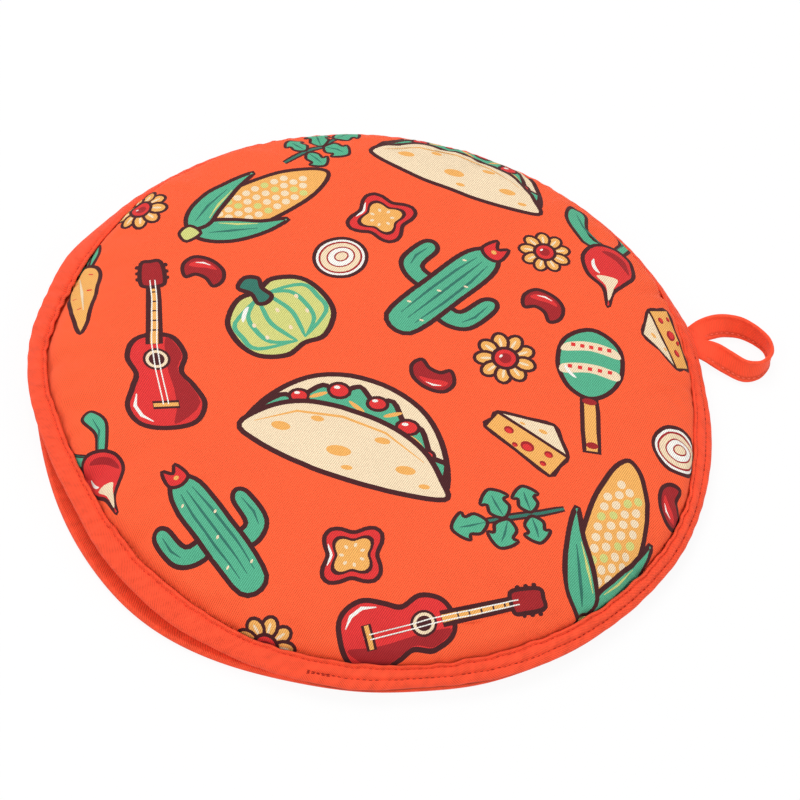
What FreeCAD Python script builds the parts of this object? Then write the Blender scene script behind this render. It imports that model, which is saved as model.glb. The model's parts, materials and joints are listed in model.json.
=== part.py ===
import FreeCAD, Part
import os

import Sketcher

# Tortilla warmer: a flat round pouch of two padded panels, each edged with folded binding tape.
# The panels are sewn together round the rim except at the mouth, which faces -X. A hanging loop of
# the same tape is caught in the seam at +X. The pouch lies on z = 0 and the origin is the centre of
# its base. Millimetres and degrees.

SIZES = {
    "disc_diameter": 305,         # over the bindings
    "binding_width": 11,          # how far a binding reaches in over its panel
    "tape_thickness": 0.6,
    "shell_thickness": 0.5,       # outer fabric
    "lining_thickness": 0.5,      # inner fabric
    "batting_thickness": 4,       # padding in the field of a panel
    "rim_batting": 1.2,           # padding squeezed in the outer edge of a binding
    "ply_clearance": 0.2,         # between neighbouring plies
    "rim_gap": 0.3,               # between the two closed rims
    "binding_slope": 20,          # fall of the upper binding towards its edge
    "crease_margin": 0.6,         # from the upper binding's inner edge to the foot of the dome
    "side_slope": 58,             # steep side of the dome just inside the binding
    "side_width": 5,
    "crown_slope": 11,            # from the side in to the level top
    "crown_width": 50,
    "lower_field_margin": 5,      # from the lower binding's inner edge to its raised field
    "lower_base_margin": 1.5,     # the same on the underside
    "field_ramp": 2,              # width of the step down from the lower field to its rim
    "base_ramp": 1.2,             # the same on the underside
    "mouth_half_angle": 63,       # from -X to each end of the seam
    "mouth_rest_lift": 4.5,       # how far the mouth flap stands open at rest
    "fold_gap": 0.3,              # at the fold line between the flap and the sewn part
    "thread_width": 0.8,
    "thread_height": 0.4,
    "inner_thread_height": 0.2,   # of the row that lies between the rims
    "thread_clearance": 0.05,     # between a stitch row and the tape it lies on
    "binding_stitch_inset": 1.8,  # from a binding's inner edge to its stitch row
    "joining_stitch_inset": 4.5,  # from the rim's outer edge to the joining seam
    "backtack_length": 8,
    "backtack_width": 1.6,
    "loop_reach": 38,             # how far the hanging loop stands out from the rim
    "loop_tape_width": 11,
    "loop_tape_thickness": 1.8,
    "loop_eye_width": 20,
    "loop_throat_radius": 1.5,    # rounding of the eye where the two legs meet
    "loop_throat_inset": 12,      # from the loop's root to the centre of that rounding
    "loop_root_width": 11,
    "loop_root_thickness": 0.7,
    "loop_twist_length": 12,      # stretch in which the tape turns from flat to upright
    "loop_floor_gap": 0.3,
    "loop_root_gap": 0.6,         # room for the tape to bend between the tails and the loop
    "tail_length": 8,             # part of the tails that lies between the rims
    "tail_reach": 1.7,            # part of the tails that stands out of the rims
    "tail_clearance": 0.15,
    "loop_stitch_inset": 2,       # from the loop tape's lower edge to its stitch row
    "loop_stitch_sweep": 200,     # how far that row runs round the eye
}

# Lengths and heights that follow from the sizes. Depths are measured square to the upper panel's face.
FORM = {
    "disc_radius": "Sizes.disc_diameter / 2",
    "ply_radius": "Form.disc_radius - Sizes.tape_thickness - Sizes.ply_clearance",
    "tape_inner_radius": "Form.disc_radius - Sizes.binding_width",
    "ply_base": "Sizes.tape_thickness + Sizes.ply_clearance",
    "rim_batting_base": "Form.ply_base + Sizes.shell_thickness + Sizes.ply_clearance",
    "rim_lining_base": "Form.rim_batting_base + Sizes.rim_batting + Sizes.ply_clearance",
    "rim_height": "Form.rim_lining_base + Sizes.lining_thickness + Form.ply_base",
    "field_batting_base": "Sizes.shell_thickness + Sizes.ply_clearance",
    "field_lining_base": "Form.field_batting_base + Sizes.batting_thickness + Sizes.ply_clearance",
    "lower_field_radius": "Form.tape_inner_radius - Sizes.lower_field_margin",
    "lower_base_radius": "Form.tape_inner_radius - Sizes.lower_base_margin - Sizes.base_ramp",
    "upper_base": "Form.rim_height + Sizes.rim_gap",
    "upper_lining_base": "Form.upper_base + Form.ply_base",
    "upper_lining_top": "Form.upper_lining_base + Sizes.lining_thickness",
    "upper_batting_base": "Form.upper_lining_top + Sizes.ply_clearance",
    "batting_top_depth": "Sizes.shell_thickness + Sizes.ply_clearance",
    "batting_bottom_depth": "Form.batting_top_depth + Sizes.batting_thickness",
    "lining_top_depth": "Form.batting_bottom_depth + Sizes.ply_clearance",
    "lining_bottom_depth": "Form.lining_top_depth + Sizes.lining_thickness",
    "rim_top_edge": "Form.upper_batting_base + Sizes.rim_batting + Form.batting_top_depth",
    "crease_radius": "Form.tape_inner_radius - Sizes.crease_margin",
    "crease_height":
        "Form.rim_top_edge + (Form.ply_radius - Form.crease_radius) * tan(Sizes.binding_slope)",
    "side_top_radius": "Form.crease_radius - Sizes.side_width",
    "side_top_height": "Form.crease_height + Sizes.side_width * tan(Sizes.side_slope)",
    "crown_top_radius": "Form.side_top_radius - Sizes.crown_width",
    "dome_height": "Form.side_top_height + Sizes.crown_width * tan(Sizes.crown_slope)",
    "mouth_chord": "Form.disc_radius * cos(Sizes.mouth_half_angle)",
    "seam_sweep": "360 - 2 * Sizes.mouth_half_angle",
    "binding_stitch_radius": "Form.tape_inner_radius + Sizes.binding_stitch_inset",
    "joining_stitch_radius": "Form.disc_radius - Sizes.joining_stitch_inset",
    "backtack_radius":
        "Form.joining_stitch_radius + (Sizes.thread_width + Sizes.backtack_width) / 2 + Sizes.ply_clearance",
    "backtack_sweep": "Sizes.backtack_length / Form.backtack_radius * 180 / pi",
    "tail_base": "Form.rim_height + Sizes.tail_clearance",
    "loop_root_height": "Form.tail_base + Sizes.loop_root_thickness / 2",
    "loop_root_x": "Form.disc_radius + Sizes.tail_reach + Sizes.loop_root_gap",
    "loop_outer_radius": "Sizes.loop_eye_width / 2 + Sizes.loop_tape_thickness",
    "loop_eye_x": "Form.disc_radius + Sizes.loop_reach - Form.loop_outer_radius",
}

ORIGIN = (-1, 1)
HORIZONTAL_AXIS, VERTICAL_AXIS = range(-1, -3, -1)
START, END, CENTRE = range(1, 4)
UP = FreeCAD.Vector(0, 0, 1)


def fill_sheet(doc, name, rows):
    sheet = doc.addObject("Spreadsheet::Sheet", name)
    for line, (alias, content) in enumerate(rows.items(), start=1):
        sheet.set(f"A{line}", alias)
        sheet.set(f"B{line}", content)
        sheet.setAlias(f"B{line}", alias)
    doc.recompute()
    return sheet


doc = FreeCAD.newDocument("tortilla_warmer")
fill_sheet(doc, "Sizes", {alias: str(size) for alias, size in SIZES.items()})
form = fill_sheet(doc, "Form", {alias: f"={formula}" for alias, formula in FORM.items()})


def value(formula):
    """The number that a formula of the sheets' names gives."""
    result = form.evalExpression(formula)
    return float(getattr(result, "Value", result))


# ---- sketches --------------------------------------------------------------------------------


def bind_distance(sketch, kind, element, point, formula):
    """Hold one coordinate of a sketch point at a formula of the sheets' names."""
    distance = value(formula)
    if formula == "0":
        axis = VERTICAL_AXIS if kind == "DistanceX" else HORIZONTAL_AXIS
        sketch.addConstraint(Sketcher.Constraint("PointOnObject", element, point, axis))
        return
    if distance > 0:
        constraint = Sketcher.Constraint(kind, *ORIGIN, element, point, distance)
    else:
        constraint = Sketcher.Constraint(kind, element, point, *ORIGIN, -distance)
        formula = f"-({formula})"
    index = sketch.addConstraint(constraint)
    sketch.setExpression(f"Constraints[{index}]", formula)


def bind_radius(sketch, element, formula):
    index = sketch.addConstraint(Sketcher.Constraint("Radius", element, value(formula)))
    sketch.setExpression(f"Constraints[{index}]", formula)


def draw_polygon(sketch, corners):
    """Draw a closed polygon whose corners are pairs of formulas."""
    points = [FreeCAD.Vector(value(across), value(along), 0) for across, along in corners]
    edges = [
        sketch.addGeometry(Part.LineSegment(start, end), False)
        for start, end in zip(points, points[1:] + points[:1])
    ]
    for edge, following, corner in zip(edges, edges[1:] + edges[:1], corners):
        sketch.addConstraint(Sketcher.Constraint("Coincident", edge, END, following, START))
        bind_distance(sketch, "DistanceX", edge, START, corner[0])
        bind_distance(sketch, "DistanceY", edge, START, corner[1])


def add_sketch(body, name, plane, polygons=()):
    sketch = body.newObject("Sketcher::SketchObject", f"{body.Label}_{name}")
    origin_plane = next(item for item in body.Origin.OriginFeatures if item.Role == plane)
    sketch.AttachmentSupport = [(origin_plane, "")]
    sketch.MapMode = "FlatFace"
    for corners in polygons:
        draw_polygon(sketch, corners)
    doc.recompute()
    return sketch


def rectangle(left, bottom, right, top):
    return [(left, bottom), (right, bottom), (right, top), (left, top)]


# ---- features --------------------------------------------------------------------------------


def new_body(name):
    body = doc.addObject("PartDesign::Body", name)
    body.Label = name
    return body


def add_revolved(body, kind, name, corners, sweep):
    """Revolve a section about Z, half of the sweep on each side of +X."""
    feature = body.newObject(f"PartDesign::{kind}", f"{body.Label}_{name}")
    profile = add_sketch(body, f"{name}_section", "XZ_Plane", [corners])
    feature.Profile = profile
    feature.ReferenceAxis = (profile, ["V_Axis"])
    feature.Midplane = True
    feature.setExpression("Angle", sweep)
    doc.recompute()
    body.Tip = feature
    return feature


def turn(body, name, corners, sweep="360"):
    add_revolved(body, "Revolution", name, corners, sweep)


def turn_away(body, name, corners, sweep="360"):
    check_cut(add_revolved(body, "Groove", name, corners, sweep))


def cut_through(body, name, plane, polygons, length):
    """Cut polygons out of a body, half of the length on each side of the sketch plane."""
    feature = body.newObject("PartDesign::Pocket", f"{body.Label}_{name}")
    feature.Profile = add_sketch(body, f"{name}_outline", plane, polygons)
    feature.SideType = "Symmetric"
    feature.setExpression("Length", length)
    doc.recompute()
    body.Tip = feature
    check_cut(feature)


def check_cut(feature):
    if not feature.Shape.Volume < feature.BaseFeature.Shape.Volume:
        raise RuntimeError(f"{feature.Name} removed nothing")


def keep_portion(body, portion):
    """Part a ply of the upper panel on the fold line, and stand the mouth flap open."""
    beyond = "Sizes.disc_diameter"
    if portion == "sewn":
        outline = rectangle(f"-{beyond}", f"-{beyond}", "Sizes.fold_gap / 2 - Form.mouth_chord", beyond)
        cut_through(body, "mouth_cut", "XY_Plane", [outline], beyond)
        return
    outline = rectangle("-Sizes.fold_gap / 2 - Form.mouth_chord", f"-{beyond}", beyond, beyond)
    cut_through(body, "sewn_cut", "XY_Plane", [outline], beyond)
    body.setExpression(
        "Placement",
        "placement(vector(0; 0; 0); rotation(vector(0; 1; 0); Sizes.mouth_rest_lift);"
        " vector(-Form.mouth_chord; 0; Form.dome_height))",
    )


# ---- sections --------------------------------------------------------------------------------


def corner_at_depth(radius, height, outer_slope, inner_slope, depth):
    """Corner of the upper panel's section between two slopes, moved under the face by a depth."""
    mean = f"({outer_slope} + {inner_slope}) / 2"
    reach = f"({depth}) / cos(({outer_slope} - {inner_slope}) / 2)"
    return f"{radius} - {reach} * sin({mean})", f"{height} - {reach} * cos({mean})"


def crown_corners(depth):
    """Foot and top of the dome's crown, and the middle of its level top."""
    foot = corner_at_depth(
        "Form.side_top_radius", "Form.side_top_height", "Sizes.side_slope", "Sizes.crown_slope", depth
    )
    top = corner_at_depth("Form.crown_top_radius", "Form.dome_height", "Sizes.crown_slope", "0", depth)
    return [foot, top, ("0", top[1])]


def rim_slope_height(radius, depth):
    """Height of the upper rim's sloping face, at a depth under the outer fabric's face."""
    rise = f"(Form.ply_radius - ({radius})) * tan(Sizes.binding_slope)"
    return f"Form.rim_top_edge + {rise} - ({depth}) / cos(Sizes.binding_slope)"


def under_dome(depth, base, edge):
    """Closed section under the rolled dome and the sloping rim, down to a base."""
    return [
        ("0", base),
        (edge, base),
        (edge, rim_slope_height(edge, depth)),
        corner_at_depth(
            "Form.crease_radius", "Form.crease_height", "Sizes.binding_slope", "Sizes.side_slope", depth
        ),
    ] + crown_corners(depth)


def inner_dome(depth, base):
    """Side and crown of an inner face, whose side runs down to a base."""
    corners = crown_corners(depth)
    side_top, side_top_height = corners[0]
    foot = f"{side_top} + ({side_top_height} - ({base})) / tan(Sizes.side_slope)"
    return [(foot, base)] + corners


def flat_ply(bases, thicknesses, base_corners, top_corners):
    """Section of a lower ply. Each pair gives its field first and its rim second."""
    field_top = f"{bases[0]} + {thicknesses[0]}"
    rim_top = f"{bases[1]} + {thicknesses[1]}"
    return [
        ("0", bases[0]),
        (base_corners[0], bases[0]),
        (base_corners[1], bases[1]),
        ("Form.ply_radius", bases[1]),
        ("Form.ply_radius", rim_top),
        (top_corners[1], rim_top),
        (top_corners[0], field_top),
        ("0", field_top),
    ]


def ramp(field_edge, width):
    return field_edge, f"{field_edge} + {width}"


def sloped_ridge(middle):
    """Section of a stitch row that lies on the upper binding."""
    inner, outer = f"{middle} - Sizes.thread_width / 2", f"{middle} + Sizes.thread_width / 2"
    return [
        (inner, rim_slope_height(inner, STITCH_BASE)),
        (outer, rim_slope_height(outer, STITCH_BASE)),
        (middle, rim_slope_height(middle, STITCH_TOP)),
    ]


TAPE_FACE = "-(Sizes.ply_clearance + Sizes.tape_thickness)"
STITCH_BASE = f"{TAPE_FACE} - Sizes.thread_clearance"
STITCH_TOP = f"{STITCH_BASE} - Sizes.thread_height"
OVERCUT = "1"


# ---- the lower panel -------------------------------------------------------------------------


def lower_shell():
    body = new_body("lower_shell")
    fabric = "Sizes.shell_thickness"
    base = ramp("Form.lower_base_radius", "Sizes.base_ramp")
    top = ramp(f"Form.lower_base_radius - {fabric}", "Sizes.base_ramp")
    turn(body, "sheet", flat_ply(("0", "Form.ply_base"), (fabric, fabric), base, top))
    return body


def lower_batting():
    body = new_body("lower_batting")
    base = ramp("Form.lower_base_radius - Sizes.shell_thickness - Sizes.ply_clearance", "Sizes.base_ramp")
    top = ramp("Form.lower_field_radius - Sizes.lining_thickness - Sizes.ply_clearance", "Sizes.field_ramp")
    bases = ("Form.field_batting_base", "Form.rim_batting_base")
    turn(body, "pad", flat_ply(bases, ("Sizes.batting_thickness", "Sizes.rim_batting"), base, top))
    return body


def lower_lining():
    body = new_body("lower_lining")
    fabric = "Sizes.lining_thickness"
    base = ramp(f"Form.lower_field_radius - {fabric}", "Sizes.field_ramp")
    top = ramp("Form.lower_field_radius", "Sizes.field_ramp")
    bases = ("Form.field_lining_base", "Form.rim_lining_base")
    turn(body, "sheet", flat_ply(bases, (fabric, fabric), base, top))
    return body


def lower_binding():
    """Tape folded round the lower rim."""
    body = new_body("lower_binding")
    inner, outer, top = "Form.tape_inner_radius", "Form.disc_radius", "Form.rim_height"
    turn(body, "tape", rectangle(inner, "0", outer, top))
    plies = rectangle(
        f"{inner} - {OVERCUT}", "Sizes.tape_thickness",
        f"{outer} - Sizes.tape_thickness", f"{top} - Sizes.tape_thickness",
    )
    turn_away(body, "ply_space", plies)
    return body


def lower_binding_stitch():
    body = new_body("lower_binding_stitch")
    middle, base = "Form.binding_stitch_radius", "Form.rim_height + Sizes.thread_clearance"
    section = [
        (f"{middle} - Sizes.thread_width / 2", base),
        (f"{middle} + Sizes.thread_width / 2", base),
        (middle, f"{base} + Sizes.inner_thread_height"),
    ]
    turn(body, "thread", section)
    return body


# ---- the upper panel -------------------------------------------------------------------------


def upper_shell(name, portion):
    body = new_body(name)
    base = "Form.upper_batting_base"
    turn(body, "dome", under_dome("0", base, "Form.ply_radius"))
    below = under_dome("Sizes.shell_thickness", f"{base} - {OVERCUT}", f"Form.ply_radius + {OVERCUT}")
    turn_away(body, "underside", below)
    keep_portion(body, portion)
    return body


def upper_batting(name, portion):
    body = new_body(name)
    base = "Form.upper_batting_base"
    turn(body, "dome", under_dome("Form.batting_top_depth", base, "Form.ply_radius"))
    turn_away(body, "underside", [("0", base)] + inner_dome("Form.batting_bottom_depth", base))
    keep_portion(body, portion)
    return body


def upper_lining(name, portion):
    body = new_body(name)
    base, top, edge = "Form.upper_lining_base", "Form.upper_lining_top", "Form.ply_radius"
    rim = [("0", base), (edge, base), (edge, top)]
    turn(body, "dome", rim + inner_dome("Form.lining_top_depth", top))
    turn_away(body, "underside", [("0", base)] + inner_dome("Form.lining_bottom_depth", base))
    keep_portion(body, portion)
    return body


def upper_binding(name, portion):
    """Tape folded round the upper rim, its top leg sloping out over the squeezed padding."""
    body = new_body(name)
    inner, outer, base = "Form.tape_inner_radius", "Form.disc_radius", "Form.upper_base"
    wall = f"{outer} - Sizes.tape_thickness"
    mouth = f"{inner} - {OVERCUT}"
    tape = [
        (inner, base),
        (outer, base),
        (outer, rim_slope_height(outer, TAPE_FACE)),
        (inner, rim_slope_height(inner, TAPE_FACE)),
    ]
    plies = [
        (mouth, f"{base} + Sizes.tape_thickness"),
        (wall, f"{base} + Sizes.tape_thickness"),
        (wall, rim_slope_height(wall, "-Sizes.ply_clearance")),
        (mouth, rim_slope_height(mouth, "-Sizes.ply_clearance")),
    ]
    turn(body, "tape", tape)
    turn_away(body, "ply_space", plies)
    if portion == "sewn":
        cut_tail_slot(body)
    keep_portion(body, portion)
    return body


def cut_tail_slot(body):
    """Open the fold of the upper binding where the loop's tails lie in it."""
    start = "Form.disc_radius - Sizes.tail_length - Sizes.tail_clearance"
    roof = "Form.tail_base + Sizes.loop_root_thickness + Sizes.tail_clearance"
    slot = rectangle(start, f"Form.upper_base - {OVERCUT}", f"Form.disc_radius + {OVERCUT}", roof)
    cut_through(body, "tail_slot", "XZ_Plane", [slot], "Sizes.loop_root_width + 2 * Sizes.tail_clearance")


def upper_binding_stitch(name, portion):
    body = new_body(name)
    turn(body, "thread", sloped_ridge("Form.binding_stitch_radius"))
    keep_portion(body, portion)
    return body


# ---- the joining seam ------------------------------------------------------------------------


def joining_seam():
    body = new_body("joining_seam")
    turn(body, "thread", sloped_ridge("Form.joining_stitch_radius"), "Form.seam_sweep")
    return body


def backtack(name, side):
    """Dense stitches that lock one end of the seam, lying on the tape beside the thread."""
    body = new_body(name)
    inner = "Form.backtack_radius - Sizes.backtack_width / 2"
    outer = "Form.backtack_radius + Sizes.backtack_width / 2"
    section = [
        (inner, rim_slope_height(inner, STITCH_BASE)),
        (outer, rim_slope_height(outer, STITCH_BASE)),
        (outer, rim_slope_height(outer, STITCH_TOP)),
        (inner, rim_slope_height(inner, STITCH_TOP)),
    ]
    turn(body, "stitches", section, "Form.backtack_sweep")
    angle = f"{side} * (Form.seam_sweep - Form.backtack_sweep) / 2"
    body.setExpression("Placement", f"placement(vector(0; 0; 0); rotation(vector(0; 0; 1); {angle}))")
    return body


# ---- the hanging loop ------------------------------------------------------------------------


def draw_legs(sketch, root_x, root_side, end_radius):
    """A round end about the loop's eye and the two legs that leave it tangent for the root."""
    centre = FreeCAD.Vector(value("Form.loop_eye_x"), 0, 0)
    root = FreeCAD.Vector(value(root_x), value(root_side), 0)
    radius = value(end_radius)
    lean = FreeCAD.Vector(root.y - radius, centre.x - root.x, 0).normalize() * radius
    angle = lean.getAngle(FreeCAD.Vector(1, 0, 0))
    start, finish = centre + lean, centre + FreeCAD.Vector(lean.x, -lean.y, 0)
    end = sketch.addGeometry(Part.ArcOfCircle(Part.Circle(centre, UP, radius), -angle, angle), False)
    far_leg = sketch.addGeometry(Part.LineSegment(start, root), False)
    near_leg = sketch.addGeometry(Part.LineSegment(FreeCAD.Vector(root.x, -root.y, 0), finish), False)
    sketch.addConstraint(Sketcher.Constraint("Tangent", end, END, far_leg, START))
    sketch.addConstraint(Sketcher.Constraint("Tangent", near_leg, END, end, START))
    bind_distance(sketch, "DistanceX", end, CENTRE, "Form.loop_eye_x")
    bind_distance(sketch, "DistanceY", end, CENTRE, "0")
    bind_radius(sketch, end, end_radius)
    return far_leg, near_leg, angle


def draw_loop_outline(sketch):
    root_x, root_side = "Form.loop_root_x", "Sizes.loop_root_width / 2"
    far_leg, near_leg, _ = draw_legs(sketch, root_x, root_side, "Form.loop_outer_radius")
    far = FreeCAD.Vector(value(root_x), value(root_side), 0)
    near = FreeCAD.Vector(far.x, -far.y, 0)
    root = sketch.addGeometry(Part.LineSegment(far, near), False)
    sketch.addConstraint(Sketcher.Constraint("Coincident", far_leg, END, root, START))
    sketch.addConstraint(Sketcher.Constraint("Coincident", root, END, near_leg, START))
    bind_distance(sketch, "DistanceX", root, START, root_x)
    bind_distance(sketch, "DistanceX", root, END, root_x)
    bind_distance(sketch, "DistanceY", root, START, root_side)
    bind_distance(sketch, "DistanceY", root, END, f"-{root_side}")


def draw_eye_outline(sketch):
    throat_x, throat_radius = "Form.loop_root_x + Sizes.loop_throat_inset", "Sizes.loop_throat_radius"
    far_leg, near_leg, angle = draw_legs(sketch, throat_x, throat_radius, "Sizes.loop_eye_width / 2")
    circle = Part.Circle(FreeCAD.Vector(value(throat_x), 0, 0), UP, value(throat_radius))
    throat = sketch.addGeometry(Part.ArcOfCircle(circle, angle, -angle), False)
    sketch.addConstraint(Sketcher.Constraint("Tangent", far_leg, END, throat, START))
    sketch.addConstraint(Sketcher.Constraint("Tangent", throat, END, near_leg, START))
    bind_distance(sketch, "DistanceX", throat, CENTRE, throat_x)
    bind_distance(sketch, "DistanceY", throat, CENTRE, "0")
    bind_radius(sketch, throat, throat_radius)


def hanging_loop():
    """Tape that leaves the rim flat, turns upright on its way and closes round the eye."""
    body = new_body("hanging_loop")
    outline = add_sketch(body, "outline", "XY_Plane")
    draw_loop_outline(outline)
    outline.setExpression(".AttachmentOffset.Base.z", "Sizes.loop_floor_gap")
    tape = body.newObject("PartDesign::Pad", "hanging_loop_tape")
    tape.Profile = outline
    tape.setExpression("Length", "Sizes.loop_tape_width")
    doc.recompute()
    eye_outline = add_sketch(body, "eye_outline", "XY_Plane")
    draw_eye_outline(eye_outline)
    eye = body.newObject("PartDesign::Pocket", "hanging_loop_eye")
    eye.Profile = eye_outline
    eye.SideType = "Symmetric"
    eye.setExpression("Length", "4 * (Sizes.loop_tape_width + Sizes.loop_floor_gap)")
    doc.recompute()
    body.Tip = eye
    check_cut(eye)
    cut_through(body, "twist", "XZ_Plane", twist_wedges(), "4 * Form.loop_outer_radius")
    return body


def twist_wedges():
    """What the turn from flat to upright leaves free above and below the loop's root."""
    root, upright = "Form.loop_root_x", "Form.loop_root_x + Sizes.loop_twist_length"
    outside = f"{root} - {OVERCUT}"
    floor, roof = "Sizes.loop_floor_gap", "Sizes.loop_floor_gap + Sizes.loop_tape_width"
    half = "Sizes.loop_root_thickness / 2"
    low, high = f"Form.loop_root_height - {half}", f"Form.loop_root_height + {half}"
    above = [
        (root, high), (upright, roof), (upright, f"{roof} + {OVERCUT}"),
        (outside, f"{roof} + {OVERCUT}"), (outside, high),
    ]
    below = [
        (root, low), (outside, low), (outside, f"{floor} - {OVERCUT}"),
        (upright, f"{floor} - {OVERCUT}"), (upright, floor),
    ]
    return [above, below]


def loop_edge_stitch():
    """Stitch row near the lower edge of the loop's tape, round its outer face."""
    row = doc.addObject("Part::Cut", "loop_edge_stitch")
    row.Label = "loop_edge_stitch"
    row.Base = stitch_cylinder("loop_stitch_face", "2 * Sizes.thread_clearance + Sizes.thread_height")
    row.Tool = stitch_cylinder("loop_stitch_core", "2 * Sizes.thread_clearance")
    row.setExpression(
        "Placement",
        "placement(vector(Form.loop_eye_x; 0; Sizes.loop_floor_gap + Sizes.loop_stitch_inset);"
        " rotation(vector(0; 0; 1); -Sizes.loop_stitch_sweep / 2))",
    )
    doc.recompute()
    return row


def stitch_cylinder(name, stand_off):
    cylinder = doc.addObject("Part::Cylinder", name)
    cylinder.setExpression("Radius", f"Form.loop_outer_radius + {stand_off}")
    cylinder.setExpression("Height", "Sizes.thread_width")
    cylinder.setExpression("Angle", "Sizes.loop_stitch_sweep")
    return cylinder


def loop_tails():
    """The two ends of the loop's tape, pressed flat between the rims."""
    tails = doc.addObject("Part::Box", "loop_tails")
    tails.Label = "loop_tails"
    tails.setExpression("Length", "Sizes.tail_length + Sizes.tail_reach")
    tails.setExpression("Width", "Sizes.loop_root_width")
    tails.setExpression("Height", "Sizes.loop_root_thickness")
    tails.setExpression(
        "Placement",
        "placement(vector(Form.disc_radius - Sizes.tail_length; -Sizes.loop_root_width / 2; Form.tail_base);"
        " rotation(vector(0; 0; 1); 0))",
    )
    doc.recompute()
    return tails


# ---- the assembly ----------------------------------------------------------------------------

pieces = [lower_shell(), lower_batting(), lower_lining(), lower_binding(), lower_binding_stitch()]
for panel, portion in (("upper", "sewn"), ("flap", "flap")):
    pieces += [
        upper_shell(f"{panel}_shell", portion),
        upper_batting(f"{panel}_batting", portion),
        upper_lining(f"{panel}_lining", portion),
        upper_binding(f"{panel}_binding", portion),
        upper_binding_stitch(f"{panel}_binding_stitch", portion),
    ]
pieces += [
    joining_seam(),
    backtack("near_end_backtack", -1),
    backtack("far_end_backtack", 1),
    hanging_loop(),
    loop_edge_stitch(),
    loop_tails(),
]
doc.recompute()

for item in doc.Objects:
    faults = {"Invalid", "Error"} & set(item.State)
    if faults:
        raise RuntimeError(f"{item.Label} is in a state of {faults}")
for piece in pieces:
    if piece.Shape.isNull() or not piece.Shape.isValid():
        raise RuntimeError(f"{piece.Label} has no valid shape")

os.makedirs("parts", exist_ok=True)
for piece in pieces:
    piece.Shape.exportStep(f"parts/{piece.Label}.step")
    print(f"{piece.Label}: {len(piece.Shape.Solids)} solid, {piece.Shape.Volume:.1f} mm3")
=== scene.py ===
import json
import math

import bpy
import numpy as np
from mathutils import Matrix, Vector
from mathutils.geometry import delaunay_2d_cdt


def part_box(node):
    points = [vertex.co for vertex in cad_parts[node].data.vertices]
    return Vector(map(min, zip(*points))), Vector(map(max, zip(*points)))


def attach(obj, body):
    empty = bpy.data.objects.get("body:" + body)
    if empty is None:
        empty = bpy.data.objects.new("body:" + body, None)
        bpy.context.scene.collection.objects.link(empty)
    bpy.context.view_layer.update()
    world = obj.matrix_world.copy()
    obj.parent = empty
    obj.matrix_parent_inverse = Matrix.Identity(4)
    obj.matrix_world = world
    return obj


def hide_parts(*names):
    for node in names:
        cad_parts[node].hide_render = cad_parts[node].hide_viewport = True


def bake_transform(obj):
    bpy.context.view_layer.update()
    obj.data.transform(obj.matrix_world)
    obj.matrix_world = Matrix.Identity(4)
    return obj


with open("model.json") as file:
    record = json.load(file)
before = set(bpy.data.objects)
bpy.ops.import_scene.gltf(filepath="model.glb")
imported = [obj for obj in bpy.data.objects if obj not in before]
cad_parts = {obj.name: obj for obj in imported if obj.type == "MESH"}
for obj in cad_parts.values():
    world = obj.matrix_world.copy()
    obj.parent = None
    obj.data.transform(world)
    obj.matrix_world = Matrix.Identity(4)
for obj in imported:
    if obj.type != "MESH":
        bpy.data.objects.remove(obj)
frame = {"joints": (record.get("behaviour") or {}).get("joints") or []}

bl_info = {
    "name": "Tortilla Warmer",
    "version": (1, 0, 0),
    "blender": (4, 5, 0),
    "location": "View3D > Sidebar > Warmer",
    "description": "A padded round tortilla warmer of printed cloth, with bound rims and a hanging loop",
    "category": "Add Mesh",
}

TURN = 2 * math.pi
MM = 0.001
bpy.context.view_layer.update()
RIM_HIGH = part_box("lower_binding")[1]
JOINTS = {joint["name"]: joint["pos_m"] for joint in frame["joints"]}
POUCH, FLAP, LOOP = "pouch", "mouth_flap", "hanging_loop"
FOLD = np.array(JOINTS["mouth_lift"])
MOUTH_SIDE = (-0.135, 0.0, float(FOLD[2]))   # from here out the mouth's side is lifted in full


# ---- settings --------------------------------------------------------------------------------


def length(name, description, default):
    return bpy.props.FloatProperty(
        name=name, description=description, default=default, subtype="DISTANCE", unit="LENGTH"
    )


def angle_in_degrees(name, description, degrees):
    return bpy.props.FloatProperty(
        name=name, description=description, default=math.radians(degrees), subtype="ANGLE", unit="ROTATION"
    )


def colour(name, description, default):
    return bpy.props.FloatVectorProperty(
        name=name, description=description, default=default, size=3, subtype="COLOR", min=0, max=1
    )


class WarmerSizes(bpy.types.PropertyGroup):
    """Sizes of the pouch that a maker would change."""

    rim_radius: length("Rim radius", "From the centre to the bound edge", RIM_HIGH.x)
    rim_height: length("Rim height", "Height of the lower bound rim", RIM_HIGH.z)
    tape_width: length("Tape width", "How far a binding reaches in over its panel", 11 * MM)
    tape_thickness: length("Tape thickness", "Thickness of the binding tape", 0.6 * MM)
    cloth_thickness: length("Cloth thickness", "Thickness of the printed cloth and the lining", 0.5 * MM)
    padding: length("Padding", "Thickness of the padding in a panel's field", 4 * MM)
    crown: length("Crown height", "Top of the upper panel", 30.5 * MM)
    crease: length("Crease height", "Height of the binding's inner edge", 12.4 * MM)
    mouth_lift: angle_in_degrees("Mouth lift", "How far the mouth stands open at rest", 4.5)
    stitch_pitch: length("Stitch pitch", "From one stitch to the next", 2.6 * MM)
    thread: length("Thread", "Width of the sewing thread", 0.48 * MM)
    loop_tape: length("Loop tape", "Width of the folded tape of the hanging loop", 11 * MM)


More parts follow.
